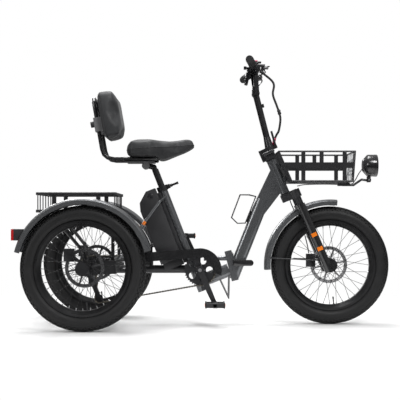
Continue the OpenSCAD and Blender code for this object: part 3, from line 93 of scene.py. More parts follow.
def finish_piece(obj, material, body=None, replaces=()):
    """Gives a piece its material, and what the frame needs to know of it."""
    if material is not None:
        obj.data.materials.clear()
        obj.data.materials.append(material)
    if replaces:
        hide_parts(*replaces)
    if body:
        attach(obj, body)
    return obj


def apply_modifiers(obj):
    bpy.context.view_layer.update()
    graph = bpy.context.evaluated_depsgraph_get()
    mesh = bpy.data.meshes.new_from_object(obj.evaluated_get(graph))
    old = obj.data
    obj.modifiers.clear()
    obj.data = mesh
    bpy.data.meshes.remove(old)
    return obj


def shade_by_angle(obj, degrees=35):
    """Smooth faces, with edges sharper than the angle kept crisp."""
    mesh = obj.data
    mesh.polygons.foreach_set("use_smooth", [True] * len(mesh.polygons))
    bm = bmesh.new()
    bm.from_mesh(mesh)
    limit = radians(degrees)
    for e in bm.edges:
        e.smooth = not (len(e.link_faces) == 2 and e.calc_face_angle(0) > limit)
    bm.to_mesh(mesh)
    bm.free()
    return obj


def spline_points(points, per_span=6):
    """A Catmull-Rom curve through the points."""
    p = [Vector(q) for q in points]
    ends = [p[0] * 2 - p[1]] + p + [p[-1] * 2 - p[-2]]
    out = []
    for i in range(1, len(ends) - 2):
        a, b, c, d = ends[i - 1 : i + 3]
        for k in range(per_span):
            t = k / per_span
            square, cube = 2 * a - 5 * b + 4 * c - d, 3 * b - a - 3 * c + d
            out.append((2 * b + (c - a) * t + square * t * t + cube * t**3) * 0.5)
    out.append(p[-1])
    return out


def sweep(path, radius, sides=16, squash=(1.0, 1.0), up=None, caps=True, closed=False):
    """Vertices and faces of a tube along a path. radius is a number or one for each point."""
    path = [Vector(q) for q in path]
    count = len(path)
    radii = radius if hasattr(radius, "__len__") else [radius] * count
    tangents = []
    for i in range(count):
        if closed:
            t = path[(i + 1) % count] - path[i - 1]
        else:
            t = path[min(i + 1, count - 1)] - path[max(i - 1, 0)]
        tangents.append(t.normalized())
    side = Vector(up) if up is not None else None
    if side is None:
        side = Vector((0, 1, 0)) if abs(tangents[0].y) < 0.9 else Vector((0, 0, 1))
    verts = []
    faces = []
    for i, (point, t) in enumerate(zip(path, tangents)):
        side = (side - t * side.dot(t)).normalized()
        other = t.cross(side)
        for k in range(sides):
            a = 2 * pi * k / sides
            verts.append(point + side * cos(a) * radii[i] * squash[0] + other * sin(a) * radii[i] * squash[1])
    rings = count if closed else count - 1
    for i in range(rings):
        for k in range(sides):
            a = i * sides + k
            b = i * sides + (k + 1) % sides
            j = ((i + 1) % count) * sides
            faces.append((a, b, j + (k + 1) % sides, j + k))
    if caps and not closed:
        faces.append(tuple(reversed(range(sides))))
        faces.append(tuple((count - 1) * sides + k for k in range(sides)))
    return verts, faces


def axis_matrix(place, axis):
    """Turns a shape drawn along +Z to lie along axis, at place."""
    turn = Vector((0, 0, 1)).rotation_difference(Vector(axis)).to_matrix().to_4x4()
    return Matrix.Translation(Vector(place)) @ turn


def lathe(profile, place, axis, sides=32):
    """Vertices and faces of a shape turned about an axis. profile is (radius, height) pairs."""
    m = axis_matrix(place, axis)
    verts = []
    faces = []
    for r, h in profile:
        for k in range(sides):
            a = 2 * pi * k / sides
            verts.append(m @ Vector((r * cos(a), r * sin(a), h)))
    for i in range(len(profile) - 1):
        for k in range(sides):
            a = i * sides + k
            b = i * sides + (k + 1) % sides
            faces.append((a, b, b + sides, a + sides))
    faces.append(tuple(reversed(range(sides))))
    last = (len(profile) - 1) * sides
    faces.append(tuple(last + k for k in range(sides)))
    return verts, faces


def turned(name, profile, place, axis, material, body=None, replaces=(), sides=32):
    verts, faces = lathe(profile, place, axis, sides)
    obj = shade_by_angle(new_object(name, verts, faces))
    return finish_piece(obj, material, body, replaces)


def joined(name, parts):
    """One mesh from several (vertices, faces) pairs."""
    verts = []
    faces = []
    for v, f in parts:
        base = len(verts)
        verts.extend(v)
        faces.extend([tuple(base + i for i in face) for face in f])
    return new_object(name, verts, faces)


def rounded_box(size, bevel, steps=3):
    """Vertices and faces of a block with round edges, about the origin."""
    bm = bmesh.new()
    bmesh.ops.create_cube(bm, size=1)
    bmesh.ops.scale(bm, vec=Vector(size), verts=bm.verts)
    bmesh.ops.bevel(bm, geom=list(bm.edges), offset=bevel, segments=steps, profile=0.5, affect="EDGES")
    verts = [v.co.copy() for v in bm.verts]
    faces = [tuple(v.index for v in f.verts) for f in bm.faces]
    bm.free()
    return verts, faces


def block(size, bevel, place, steps=3, turn=Matrix.Identity(4)):
    """A block with round edges, turned about its middle and put at place."""
    verts, faces = rounded_box(size, bevel, steps)
    matrix = Matrix.Translation(place) @ turn
    return [matrix @ v for v in verts], faces


# ---- materials ------------------------------------------------------------------------------


def surface(name, colour, rough, metal=0.0, mottle=0.08, mottle_scale=18, grain=900, bump=0.06,
            grain_depth=0.0002, rough_spread=0.1, coat=0.0, coat_rough=0.1, sheen=0.0, stretch=(1, 1, 1),
            specular=0.5, cells=False):
    """A material whose colour, roughness and fine relief vary over the surface."""
    m = bpy.data.materials.new(name)
    m.use_nodes = True
    nodes = m.node_tree.nodes
    links = m.node_tree.links
    shader = nodes["Principled BSDF"]
    shader.inputs["Metallic"].default_value = metal
    shader.inputs["Coat Weight"].default_value = coat
    shader.inputs["Coat Roughness"].default_value = coat_rough
    shader.inputs["Sheen Weight"].default_value = sheen
    shader.inputs["Specular IOR Level"].default_value = specular
    coord = nodes.new("ShaderNodeTexCoord")
    mapping = nodes.new("ShaderNodeMapping")
    mapping.inputs["Scale"].default_value = stretch
    links.new(coord.outputs["Object"], mapping.inputs["Vector"])
    broad = nodes.new("ShaderNodeTexNoise")
    broad.inputs["Scale"].default_value = mottle_scale
    broad.inputs["Detail"].default_value = 4
    fine = nodes.new("ShaderNodeTexVoronoi" if cells else "ShaderNodeTexNoise")
    fine.inputs["Scale"].default_value = grain
    for texture in (broad, fine):
        links.new(mapping.outputs["Vector"], texture.inputs["Vector"])
    fine_out = fine.outputs["Distance" if cells else "Fac"]
    ramp = nodes.new("ShaderNodeValToRGB")
    dark = [c * (1 - mottle) for c in colour]
    light = [min(1.0, c * (1 + mottle)) for c in colour]
    ramp.color_ramp.elements[0].position = 0.3
    ramp.color_ramp.elements[0].color = (*dark, 1)
    ramp.color_ramp.elements[1].position = 0.7
    ramp.color_ramp.elements[1].color = (*light, 1)
    links.new(broad.outputs["Fac"], ramp.inputs["Fac"])
    links.new(ramp.outputs["Color"], shader.inputs["Base Color"])
    spread = nodes.new("ShaderNodeMapRange")
    spread.inputs["From Min"].default_value = 0.3
    spread.inputs["From Max"].default_value = 0.7
    spread.inputs["To Min"].default_value = max(0.02, rough - rough_spread / 2)
    spread.inputs["To Max"].default_value = min(1.0, rough + rough_spread / 2)
    links.new(broad.outputs["Fac"], spread.inputs["Value"])
    links.new(spread.outputs["Result"], shader.inputs["Roughness"])
    relief = nodes.new("ShaderNodeBump")
    relief.inputs["Strength"].default_value = bump
    relief.inputs["Distance"].default_value = grain_depth
    links.new(fine_out, relief.inputs["Height"])
    links.new(relief.outputs["Normal"], shader.inputs["Normal"])
    return m


def clear_surface(name, colour, rough, transmission):
    m = surface(name, colour, rough, mottle=0.02, bump=0.02)
    shader = m.node_tree.nodes["Principled BSDF"]
    shader.inputs["Transmission Weight"].default_value = transmission
    return m


FRAME_PAINT = surface("frame_paint", (0.17, 0.175, 0.183), 0.27, metal=0.8, mottle=0.03, mottle_scale=1400,
                      grain=2500, bump=0.03, coat=0.5, coat_rough=0.12)
FENDER_PAINT = surface("fender_paint", (0.19, 0.195, 0.203), 0.28, metal=0.8, mottle=0.03, mottle_scale=1400,
                       grain=2500, bump=0.03, coat=0.5, coat_rough=0.12)
BLACK_PAINT = surface("black_paint", (0.016, 0.016, 0.018), 0.38, mottle=0.2, grain=1500, bump=0.08, coat=0.2)
GLOSS_BLACK = surface("gloss_black", (0.012, 0.012, 0.013), 0.2, mottle=0.15, grain=1200, bump=0.02, coat=0.6)
BLACK_PLASTIC = surface("black_plastic", (0.02, 0.02, 0.022), 0.5, mottle=0.15, grain=1800, bump=0.18)
GLOSS_PLASTIC = surface("gloss_plastic", (0.012, 0.012, 0.014), 0.22, mottle=0.15, grain=900, bump=0.03, coat=0.3)
BRACKET_GREY = surface("bracket_grey", (0.16, 0.16, 0.165), 0.5, mottle=0.08, grain=1500, bump=0.15)
SEAT_COVER = surface("seat_cover", (0.026, 0.027, 0.029), 0.55, mottle=0.12, mottle_scale=30, grain=700,
                     bump=0.25, grain_depth=0.0005, sheen=0.15, cells=True)
SEAT_SIDE = surface("seat_side", (0.017, 0.0175, 0.019), 0.6, mottle=0.12, grain=900, bump=0.3, grain_depth=0.0005,
                    cells=True)
TYRE_RUBBER = surface("tyre_rubber", (0.009, 0.009, 0.0095), 0.56, mottle=0.25, mottle_scale=25, grain=1200,
                      bump=0.25, rough_spread=0.16, specular=0.35)
GRIP_RUBBER = surface("grip_rubber", (0.016, 0.016, 0.017), 0.75, mottle=0.15, grain=1500, bump=0.3)
CABLE_BLACK = surface("cable_black", (0.014, 0.014, 0.015), 0.42, mottle=0.15, grain=900, bump=0.08)
SLEEVE = surface("cable_sleeve", (0.018, 0.018, 0.019), 0.7, mottle=0.3, mottle_scale=700, grain=1300, bump=0.5,
                 grain_depth=0.0006, cells=True)
DARK_METAL = surface("dark_metal", (0.05, 0.05, 0.053), 0.38, metal=0.85, mottle=0.12, grain=1300, bump=0.06)
RIM_BLACK = surface("rim_black", (0.02, 0.02, 0.021), 0.3, metal=0.5, mottle=0.15, grain=1300, bump=0.04)
STEEL = surface("steel", (0.48, 0.48, 0.49), 0.28, metal=1.0, mottle=0.08, grain=600, bump=0.05, stretch=(1, 6, 1))
DARK_STEEL = surface("dark_steel", (0.16, 0.16, 0.165), 0.36, metal=1.0, mottle=0.15, grain=700, bump=0.06)
CHAIN_STEEL = surface("chain_steel", (0.17, 0.155, 0.13), 0.4, metal=0.9, mottle=0.25, mottle_scale=120, grain=900,
                      bump=0.08)
ALLOY = surface("alloy", (0.55, 0.55, 0.56), 0.34, metal=1.0, mottle=0.06, grain=900, bump=0.06)
BRAKE_FACE = surface("brake_face", (0.62, 0.62, 0.63), 0.3, metal=1.0, mottle=0.08, grain=300, bump=0.12)
AMBER = surface("amber_reflector", (0.85, 0.2, 0.01), 0.18, mottle=0.12, mottle_scale=300, grain=330, bump=0.5,
                grain_depth=0.0006, coat=0.6, cells=True)
RED_LENS = surface("red_lens", (0.5, 0.008, 0.01), 0.14, mottle=0.15, mottle_scale=200, grain=260, bump=0.35,
                   grain_depth=0.0005, coat=0.7, cells=True)
RED_PLASTIC = surface("red_plastic", (0.55, 0.02, 0.1), 0.3, mottle=0.1, grain=1000, bump=0.04, coat=0.2)
WHITE_PLATE = surface("pale_plate", (0.55, 0.56, 0.57), 0.4, mottle=0.04, grain=1200, bump=0.05)
SCREEN = surface("screen_glass", (0.01, 0.012, 0.014), 0.08, mottle=0.1, grain=700, bump=0.01, coat=0.8)
CELL_WRAP = surface("cell_wrap", (0.05, 0.12, 0.3), 0.35, mottle=0.1, grain=900, bump=0.05)
REFLECTOR_BOWL = surface("reflector_bowl", (0.75, 0.75, 0.76), 0.12, metal=1.0, mottle=0.03, grain=500, bump=0.03)
LENS = clear_surface("clear_lens", (0.95, 0.96, 0.97), 0.05, 0.92)


def paint(node, material):
    """Gives a whole CAD node one material."""
    data = NODES[node].data
    data.materials.clear()
    data.materials.append(material)


def solids_of(mesh):
    """The separate solids of a node: for each one its polygons, and its lowest and highest corner."""
    co = np.zeros(len(mesh.vertices) * 3)
    mesh.vertices.foreach_get("co", co)
    co = co.reshape(-1, 3)
    _, same = np.unique(np.round(co * 1e6).astype(np.int64), axis=0, return_inverse=True)
    same = same.ravel()
    root = list(range(int(same.max()) + 1))

    def find(a):
        while root[a] != a:
            root[a] = root[root[a]]
            a = root[a]
        return a

    for p in mesh.polygons:
        first = find(same[p.vertices[0]])
        for v in p.vertices[1:]:
            other = find(same[v])
            if other != first:
                root[other] = first
    groups = {}
    for p in mesh.polygons:
        groups.setdefault(find(same[p.vertices[0]]), []).append(p.index)
    out = []
    for polygons in groups.values():
        points = co[[v for i in polygons for v in mesh.polygons[i].vertices]]
        out.append((polygons, Vector(points.min(0)), Vector(points.max(0))))
    return out


def paint_solids(node, materials, choose):
    """Gives each solid of a CAD node the material that choose(low, high) picks by its number."""
    data = NODES[node].data
    data.materials.clear()
    for m in materials:
        data.materials.append(m)
    for polygons, low, high in solids_of(data):
        index = choose(low, high)
        for i in polygons:
            data.polygons[i].material_index = index


# ---- where things are, from the frame -------------------------------------------------------

BODY = {node: body for body, nodes in frame["record"]["behaviour"]["bodies"].items() for node in nodes}
CRANK = joint_place("crank_turn")
FRONT_AXLE = joint_place("front_wheel_turn")
REAR_AXLE = joint_place("freewheel_turn")
HEAD = joint_place("steering_turn")
STEER_UP = unit(JOINTS["steering_turn"]["axis"])
HOOP_UP = unit(JOINTS["backrest_height"]["axis"])
STEM_PIVOT = joint_place("bar_angle")
WHEEL_R = (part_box("front_tyre")[1][2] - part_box("front_tyre")[0][2]) / 2
TYRE_HALF = (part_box("front_tyre")[1][1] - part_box("front_tyre")[0][1]) / 2


def forward_of(up):
    """The direction square to up in the side view, pointing forward."""
    return Vector((up.z, 0, -up.x))


def local(origin, up):
    """Turns millimetres forward, left and up in a leaning frame into a place."""
    ahead = forward_of(up)

    def place(x, y, z):
        return origin + ahead * (x * MM) + Vector((0, y * MM, 0)) + up * (z * MM)

    return place


steer = local(HEAD, STEER_UP)

BAR_RISER = STEM_PIVOT + Vector((-sin(radians(3)), 0, cos(radians(3)))) * 112 * MM
BAR_SWEEP = radians(8)


def bar_at(y):
    """The middle of the handlebar at y millimetres to the left."""
    return BAR_RISER + Vector((-max(0, abs(y) - 45) * tan(BAR_SWEEP), y, 0)) * MM


def bar_axis(side):
    """The direction of the handlebar's outer part on that side."""
    return Vector((-sin(BAR_SWEEP), side * cos(BAR_SWEEP), 0))


def on_wheel(axle, angle, radius, y=0.0):
    """A place on a wheel: the angle is from straight ahead towards up."""
    return axle + Vector((radius * cos(angle), y, radius * sin(angle)))


# ---- wheels ---------------------------------------------------------------------------------

# near-black material for dots drawn on each brake disc where the drilled holes are: painted shade standing in for the
# holes
HOLE_SHADE = surface("painted_hole_shade", (0.004, 0.004, 0.004), 0.8, mottle=0.1, grain=900, bump=0.05)
WHEELS = {
    "front": (FRONT_AXLE, "front_wheel"),
    "rear_right": (joint_place("right_wheel_turn"), "right_wheel"),
    "rear_left": (joint_place("left_wheel_turn"), "left_wheel"),
}


def disc_plane(name):
    """How far the middle of a wheel's brake disc lies from the wheel's middle plane, to the left."""
    axle = WHEELS[name][0]
    for polygons, low, high in solids_of(NODES[f"{name}_hub"].data):
        if high.x - low.x > 0.15 and high.z - low.z > 0.15 and high.y - low.y < 0.02:
            return (low.y + high.y) / 2 - axle.y
    return 0.0


HUB_DISC = {name: disc_plane(name) for name in WHEELS}


def tyre_piece(name, axle, body):
    """A fat tyre: round casing, block tread with staggered grooves, and ribbed side walls."""
    pitches = 66
    steps = np.array([0.0, 0.04, 0.28, 0.32, 0.5, 0.54, 0.78, 0.82])
    around = np.concatenate([(k + steps) / pitches for k in range(pitches)]) * 2 * pi
    phase = np.tile(steps, pitches)
    tube_r = TYRE_HALF
    middle = WHEEL_R - tube_r
    # angle across the casing, measured from the crown; the rows between are grooves
    crown = [0, 4, 7, 9, 19, 21.5, 24, 26, 38, 40.5, 43, 45, 57, 59.5, 63]
    crown += [70, 78, 86, 94, 102, 110, 118, 125, 131, 137, 143]
    rows = np.radians(sorted([-a for a in crown if a] + crown))
    depth = 0.0042
    verts = np.zeros((len(around), len(rows), 3))
    for j, row in enumerate(rows):
        a = abs(math.degrees(row))
        along_groove = 6.9 < a < 9.1 or 21.4 < a < 24.1 or 40.4 < a < 43.1
        shifted = (9 <= a <= 21.5) or (43 <= a <= 57.1)
        turned_phase = (phase + (0.5 if shifted else 0)) % 1
        cross = (turned_phase > 0.03) & (turned_phase < 0.29)
        if a <= 59.6:
            top = 0.0 if not along_groove or a in (9.0,) else depth
            drop = np.where(cross, depth, top)
            if a > 57.2:
                drop = np.where(cross, depth, 0.0004)
        else:
            rib = 0.0007 if int(round(a)) in (78, 102, 118) else 0.0
            drop = np.full(len(around), 0.0016 - rib + (0.0006 if 120 < a < 135 else 0))
        r = tube_r - drop
        verts[:, j, 0] = (middle + r * cos(row)) * np.cos(around)
        verts[:, j, 2] = (middle + r * cos(row)) * np.sin(around)
        verts[:, j, 1] = r * sin(row)
    verts += np.array(axle)
    n, m = len(around), len(rows)
    faces = []
    for i in range(n):
        k = (i + 1) % n
        for j in range(m - 1):
            faces.append((i * m + j, k * m + j, k * m + j + 1, i * m + j + 1))
    obj = new_object(f"{name}_tread_tyre", verts.reshape(-1, 3), faces)
    shade_by_angle(obj, 32)
    return finish_piece(obj, TYRE_RUBBER, body, [f"{name}_tyre"])


def far_end(mesh, polygons, axle):
    """The point of a spoke that lies furthest from the axle, and the spoke's direction there."""
    points = {v for i in polygons for v in mesh.polygons[i].vertices}
    co = np.array([mesh.vertices[v].co for v in points])
    r = np.hypot(co[:, 0] - axle.x, co[:, 2] - axle.z)
    outer = Vector(co[r > r.max() - 0.0015].mean(0))
    inner = Vector(co[r < r.min() + 0.0015].mean(0))
    return outer, (outer - inner).normalized()


def wheel_details(name, axle, body):
    mesh = NODES[f"{name}_hub"].data
    nipples = []
    for polygons, low, high in solids_of(mesh):
        mid = (low + high) / 2
        if math.hypot(mid.x - axle.x, mid.z - axle.z) < 0.05:
            continue
        end, way = far_end(mesh, polygons, axle)
        profile = [(0.0012, -0.011), (0.0021, -0.0105), (0.0021, -0.001), (0.0032, -0.0005), (0.0032, 0.0012)]
        nipples.append(lathe(profile, end, way, 8))
    obj = joined(f"{name}_nipples", nipples)
    finish_piece(shade_by_angle(obj), ALLOY, body)
    # valve stem at the bottom of the rim, with its cap
    foot = on_wheel(axle, radians(-84), WHEEL_R - 0.092)
    inward = (axle - foot).normalized()
    turned(f"{name}_valve", [(0.004, -0.002), (0.004, 0.003), (0.0026, 0.005), (0.0026, 0.024), (0.0036, 0.0245),
                             (0.0036, 0.034), (0.002, 0.036)], foot, inward, BLACK_PLASTIC, body,
           sides=12)


for wheel, (axle, body) in WHEELS.items():
    tyre_piece(wheel, axle, body)
    wheel_details(wheel, axle, body)
    paint(f"{wheel}_rim", RIM_BLACK)

    def hub_part(low, high, axle=axle):
        mid = (low + high) / 2
        wide = min(high.x - low.x, high.z - low.z)
        if math.hypot(mid.x - axle.x, mid.z - axle.z) > 0.05:
            return 0
        if wide > 0.15:
            return 1
        if wide < 0.02:
            return 2
        return 3

    paint_solids(f"{wheel}_hub", [RIM_BLACK, BRAKE_FACE if wheel == "front" else DARK_STEEL, STEEL, DARK_METAL],
                 hub_part)
    disc_y = HUB_DISC[wheel]
    # rings of thin near-black dots on both faces of the disc, in place of drilled holes: painted shade of the holes
    dots = []
    for ring, count, turn in ((0.084, 30, 0.0), (0.079, 30, 0.5), (0.074, 30, 0.0)):
        for k in range(count):
            for side in (-1, 1):
                at = on_wheel(axle, 2 * pi * (k + turn) / count, ring, side * 0.00155)
                at.y += disc_y
                dots.append(lathe([(0.0019, -0.0002), (0.0019, 0.0002)], at, (0, side, 0), 8))
    finish_piece(joined(f"{wheel}_disc_hole_shade", dots), HOLE_SHADE, body)


# ---- plain finishes of the CAD nodes that stay ----------------------------------------------

for node, material in {
    "seat_tube": FRAME_PAINT, "rear_subframe": BLACK_PAINT, "rear_fenders": FENDER_PAINT, "rear_rack": BLACK_PAINT,
    "chain_guard": GLOSS_BLACK, "folding_stand": BRACKET_GREY, "seat_clamp": GLOSS_BLACK, "bearings": DARK_STEEL,
    "battery_cells": CELL_WRAP, "seat_post": GLOSS_BLACK, "backrest_hoop": GLOSS_BLACK, "chainring": DARK_METAL,
    "headset": DARK_METAL, "bottle_cage": GLOSS_BLACK, "headlight_arm": BLACK_PAINT, "grips": GRIP_RUBBER,
    "throttle_lever": GLOSS_PLASTIC, "drive_motor": DARK_METAL, "derailleur": DARK_METAL,
}.items():
    paint(node, material)

paint_solids("lower_beam", [FRAME_PAINT, STEEL], lambda low, high: int(high.x - low.x < 0.03))
paint_solids("frame_stays", [FRAME_PAINT, BLACK_PAINT], lambda low, high: int(max(abs(low.y), abs(high.y)) > 0.108))
paint_solids("front_frame", [FRAME_PAINT, STEEL, BLACK_PAINT],
             lambda low, high: 0 if high.z - low.z > 0.1 else (1 if high.x - low.x < 0.01 else 2))
paint_solids("front_fender", [FENDER_PAINT, BLACK_PAINT], lambda low, high: int(high.y - low.y < 0.03))
paint_solids("crankset", [BLACK_PAINT, STEEL], lambda low, high: int(high.y - low.y > 0.1))
paint_solids("cassette", [DARK_METAL, DARK_STEEL], lambda low, high: int(high.y - low.y < 0.01))
paint_solids("fork_crown", [BLACK_PAINT, DARK_METAL, STEEL],
             lambda low, high: 1 if high.z - low.z > 0.25 and high.x - low.x < 0.2 and abs(low.y + high.y) > 0.05
             else (2 if high.y - low.y < 0.01 else 0))
paint_solids("fork_lowers", [GLOSS_BLACK, STEEL, AMBER],
             lambda low, high: 2 if max(high - low) < 0.04 and low.z > 0.33 else (
                 1 if high.z - low.z < 0.03 and high.x - low.x < 0.03 else 0))
paint_solids("handlepost", [GLOSS_BLACK, STEEL], lambda low, high: int(high.z - low.z < 0.02))
paint("basket", BLACK_PAINT)
NODES["basket"].data.materials.append(WHITE_PLATE)
BASKET_LOW, BASKET_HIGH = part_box("basket")
for p in NODES["basket"].data.polygons:
    # the slotted plate in the middle of the basket's front
    rise = (p.center.z - BASKET_LOW[2]) / (BASKET_HIGH[2] - BASKET_LOW[2])
    if abs(p.center.y) < 0.078 and p.center.x > BASKET_HIGH[0] - 0.032 + 0.012 * rise and 0.06 < rise < 0.92:
        p.material_index = 1
paint_solids("saddle_clamp", [ALLOY, BLACK_PAINT], lambda low, high: int(high.y - low.y > 0.1))
paint_solids("handlebar", [GLOSS_BLACK, BLACK_PAINT], lambda low, high: 0)


# ---- rounded edges on moulded and machined parts --------------------------------------------


def softened(node, width, material, materials=None, choose=None, angle=28):
    """A copy of a CAD node with its sharp edges rounded, which stands for that node."""
    source = NODES[node].data
    bm = bmesh.new()
    bm.from_mesh(source)
    bmesh.ops.remove_doubles(bm, verts=bm.verts, dist=2e-6)
    bmesh.ops.dissolve_limit(bm, angle_limit=radians(1.2), verts=bm.verts, edges=bm.edges)
    mesh = bpy.data.meshes.new(f"{node}_shell")
    bm.to_mesh(mesh)
    bm.free()
    obj = bpy.data.objects.new(f"{node}_shell", mesh)
    bpy.context.scene.collection.objects.link(obj)
    bevel = obj.modifiers.new("edges", "BEVEL")
    bevel.width = width
    bevel.segments = 2
    bevel.limit_method = "ANGLE"
    bevel.angle_limit = radians(angle)
    bevel.use_clamp_overlap = True
    bevel.harden_normals = True
    mesh.polygons.foreach_set("use_smooth", [True] * len(mesh.polygons))
    apply_modifiers(obj)
    data = obj.data
    data.materials.clear()
    for m in materials or [material]:
        data.materials.append(m)
    if choose:
        for polygons, low, high in solids_of(data):
            index = choose(low, high)
            for i in polygons:
                data.polygons[i].material_index = index
    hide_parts(node)
    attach(obj, BODY[node])
    return obj


softened("battery_case", 0.004, BLACK_PLASTIC, materials=[BLACK_PLASTIC, GLOSS_PLASTIC],
         choose=lambda low, high: int(high.y - low.y < 0.01))
softened("battery_dock", 0.003, BLACK_PLASTIC)
softened("rear_calipers", 0.002, DARK_METAL)
softened("front_caliper", 0.002, DARK_METAL)
softened("frame_latch", 0.0025, GLOSS_BLACK)
softened("stem_latch", 0.002, GLOSS_BLACK)
softened("seat_clamp_lever", 0.002, GLOSS_BLACK)
softened("backrest_bracket", 0.003, BRACKET_GREY, materials=[BRACKET_GREY, BLACK_PLASTIC],
         choose=lambda low, high: int(high.y - low.y < 0.06))
softened("bar_controls", 0.002, GLOSS_PLASTIC)
softened("tail_lights", 0.003, BLACK_PLASTIC, materials=[BLACK_PLASTIC, RED_LENS],
         choose=lambda low, high: int(high.x - low.x < 0.014))


# ---- saddle and backrest pad ----------------------------------------------------------------


def stuffed(node, voxel, rounding, cap, held, pressure=4.0):
    """The CAD solid as an upholstered cushion: rounded, then blown up a little as cloth."""
    source = NODES[node].data
    obj = bpy.data.objects.new(f"{node}_cushion", source.copy())
    bpy.context.scene.collection.objects.link(obj)
    remesh = obj.modifiers.new("even", "REMESH")
    remesh.mode = "VOXEL"
    remesh.voxel_size = voxel
    soft = obj.modifiers.new("round", "SMOOTH")
    soft.factor = 0.5
    soft.iterations = rounding
    apply_modifiers(obj)
    start = np.array([v.co for v in obj.data.vertices])
    group = obj.vertex_groups.new(name="held")
    for v in obj.data.vertices:
        if held(v.co):
            group.add([v.index], 1.0, "REPLACE")
    cloth = obj.modifiers.new("cloth", "CLOTH")
    cloth.settings.quality = 5
    cloth.settings.mass = 0.3
    cloth.settings.tension_stiffness = 18
    cloth.settings.compression_stiffness = 18
    cloth.settings.shear_stiffness = 8
    cloth.settings.bending_stiffness = 1.5
    cloth.settings.use_pressure = True
    cloth.settings.uniform_pressure_force = pressure
    cloth.settings.vertex_group_mass = "held"
    cloth.settings.effector_weights.gravity = 0
    cloth.point_cache.frame_start = 1
    cloth.point_cache.frame_end = 20
    for f in range(1, 21):
        bpy.context.scene.frame_set(f)
    apply_modifiers(obj)
    moved_to = np.array([v.co for v in obj.data.vertices])
    shift = moved_to - start
    size = np.linalg.norm(shift, axis=1, keepdims=True)
    shift *= np.minimum(1, cap / np.maximum(size, 1e-9))
    for v, p in zip(obj.data.vertices, start + shift):
        v.co = p
    bpy.context.scene.frame_set(1)
    calm = obj.modifiers.new("calm", "SMOOTH")
    calm.factor = 0.5
    calm.iterations = 24
    finer = obj.modifiers.new("finer", "SUBSURF")
    finer.levels = finer.render_levels = 1
    apply_modifiers(obj)
    obj.data.polygons.foreach_set("use_smooth", [True] * len(obj.data.polygons))
    return obj


def seam_loops(obj, place, normal):
    """The closed outlines where a plane cuts a piece."""
    bm = bmesh.new()
    bm.from_mesh(obj.data)
    cut = bmesh.ops.bisect_plane(bm, geom=bm.verts[:] + bm.edges[:] + bm.faces[:], plane_co=place, plane_no=normal)
    edges = [e for e in cut["geom_cut"] if isinstance(e, bmesh.types.BMEdge)]
    links = {}
    for e in edges:
        a, b = e.verts
        links.setdefault(a, []).append(b)
        links.setdefault(b, []).append(a)
    loops = []
    left = set(links)
    while left:
        first = left.pop()
        loop = [first]
        here = first
        while True:
            onward = [v for v in links[here] if v in left]
            if not onward:
                break
            here = onward[0]
            left.discard(here)
            loop.append(here)
        if len(loop) > 20:
            loops.append([v.co.copy() for v in loop])
    bm.free()
    return loops


def piping(name, obj, place, normal, radius, material, body, take=2):
    parts = []
    for loop in seam_loops(obj, place, normal):
        points = loop[::take]
        parts.append(sweep(points, radius, sides=8, up=normal, caps=False, closed=True))
    return finish_piece(joined(name, parts), material, body)


SADDLE_LOW = Vector(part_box("saddle")[0])
saddle_seam = SADDLE_LOW.z + 0.046
saddle = stuffed("saddle", 0.0045, 16, 0.007, lambda p: p.z < SADDLE_LOW.z + 0.03)
saddle.data.materials.clear()
saddle.data.materials.append(SEAT_COVER)
saddle.data.materials.append(SEAT_SIDE)
for p in saddle.data.polygons:
    p.material_index = int(p.center.z < saddle_seam + (p.center.x - SADDLE_LOW.x) * 0.09)
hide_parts("saddle")
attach(saddle, "seat")
seam_normal = Vector((-0.09, 0, 1)).normalized()
piping("saddle_piping", saddle, Vector((SADDLE_LOW.x, 0, saddle_seam)), seam_normal, 0.0016, SEAT_SIDE, "seat")

PAD_LOW, PAD_HIGH = [Vector(c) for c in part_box("backrest_pad")]
PAD_MIDDLE = (PAD_LOW + PAD_HIGH) / 2
PAD_AHEAD = forward_of(HOOP_UP)
pad_back = min((v.co - PAD_MIDDLE).dot(PAD_AHEAD) for v in NODES["backrest_pad"].data.vertices)
pad = stuffed("backrest_pad", 0.005, 60, 0.012, lambda p: (p - PAD_MIDDLE).dot(PAD_AHEAD) < pad_back + 0.006)
finish_piece(pad, SEAT_COVER, "backrest", ["backrest_pad"])
piping("pad_piping", pad, PAD_MIDDLE + PAD_AHEAD * (pad_back + 0.016), PAD_AHEAD, 0.0018, SEAT_SIDE, "backrest")


# ---- chain ----------------------------------------------------------------------------------

LINK = 12.7 * MM
RING_R = 36 * LINK / (2 * pi)
COG_R = 22 * LINK / (2 * pi)
CHAIN_Y = -58 * MM
GUIDE = REAR_AXLE + mm(14, 0, -82)
TENSION = REAR_AXLE + mm(44, 0, -152)
PULLEY_R = 22 * MM


def arc(middle, radius, start, end, count):
    return [on_wheel(middle, radians(start + (end - start) * i / count), radius) for i in range(count + 1)]


def spaced(path, gap):
    """Points an even gap apart along a closed path."""
    path = [Vector((p.x, 0, p.z)) for p in path]
    path.append(path[0])
    lengths = [0.0]
    for a, b in zip(path, path[1:]):
        lengths.append(lengths[-1] + (b - a).length)
    count = int(round(lengths[-1] / gap / 2)) * 2
    out = []
    k = 0
    for i in range(count):
        want = lengths[-1] * i / count
        while lengths[k + 1] < want:
            k += 1
        t = (want - lengths[k]) / (lengths[k + 1] - lengths[k])
        out.append(path[k].lerp(path[k + 1], t))
    return out


def link_plate(a, b, y, half, thick):
    """One figure-of-eight side plate between two pins."""
    along = (b - a).normalized()
    up = Vector((-along.z, 0, along.x))
    outline = []
    for end, way in ((b, 1), (a, -1)):
        for k in range(7):
            t = radians(-90 + 30 * k)
            outline.append(end + along * (way * half * cos(t)) + up * (way * half * sin(t)))
        outline.append((a + b) / 2 + up * (way * half * 0.72))
    n = len(outline)
    verts = [p + Vector((0, y + s * thick / 2, 0)) for s in (-1, 1) for p in outline]
    faces = [tuple(range(n)), tuple(reversed(range(n, 2 * n)))]
    faces += [(i, i + n, (i + 1) % n + n, (i + 1) % n) for i in range(n)]
    return verts, faces


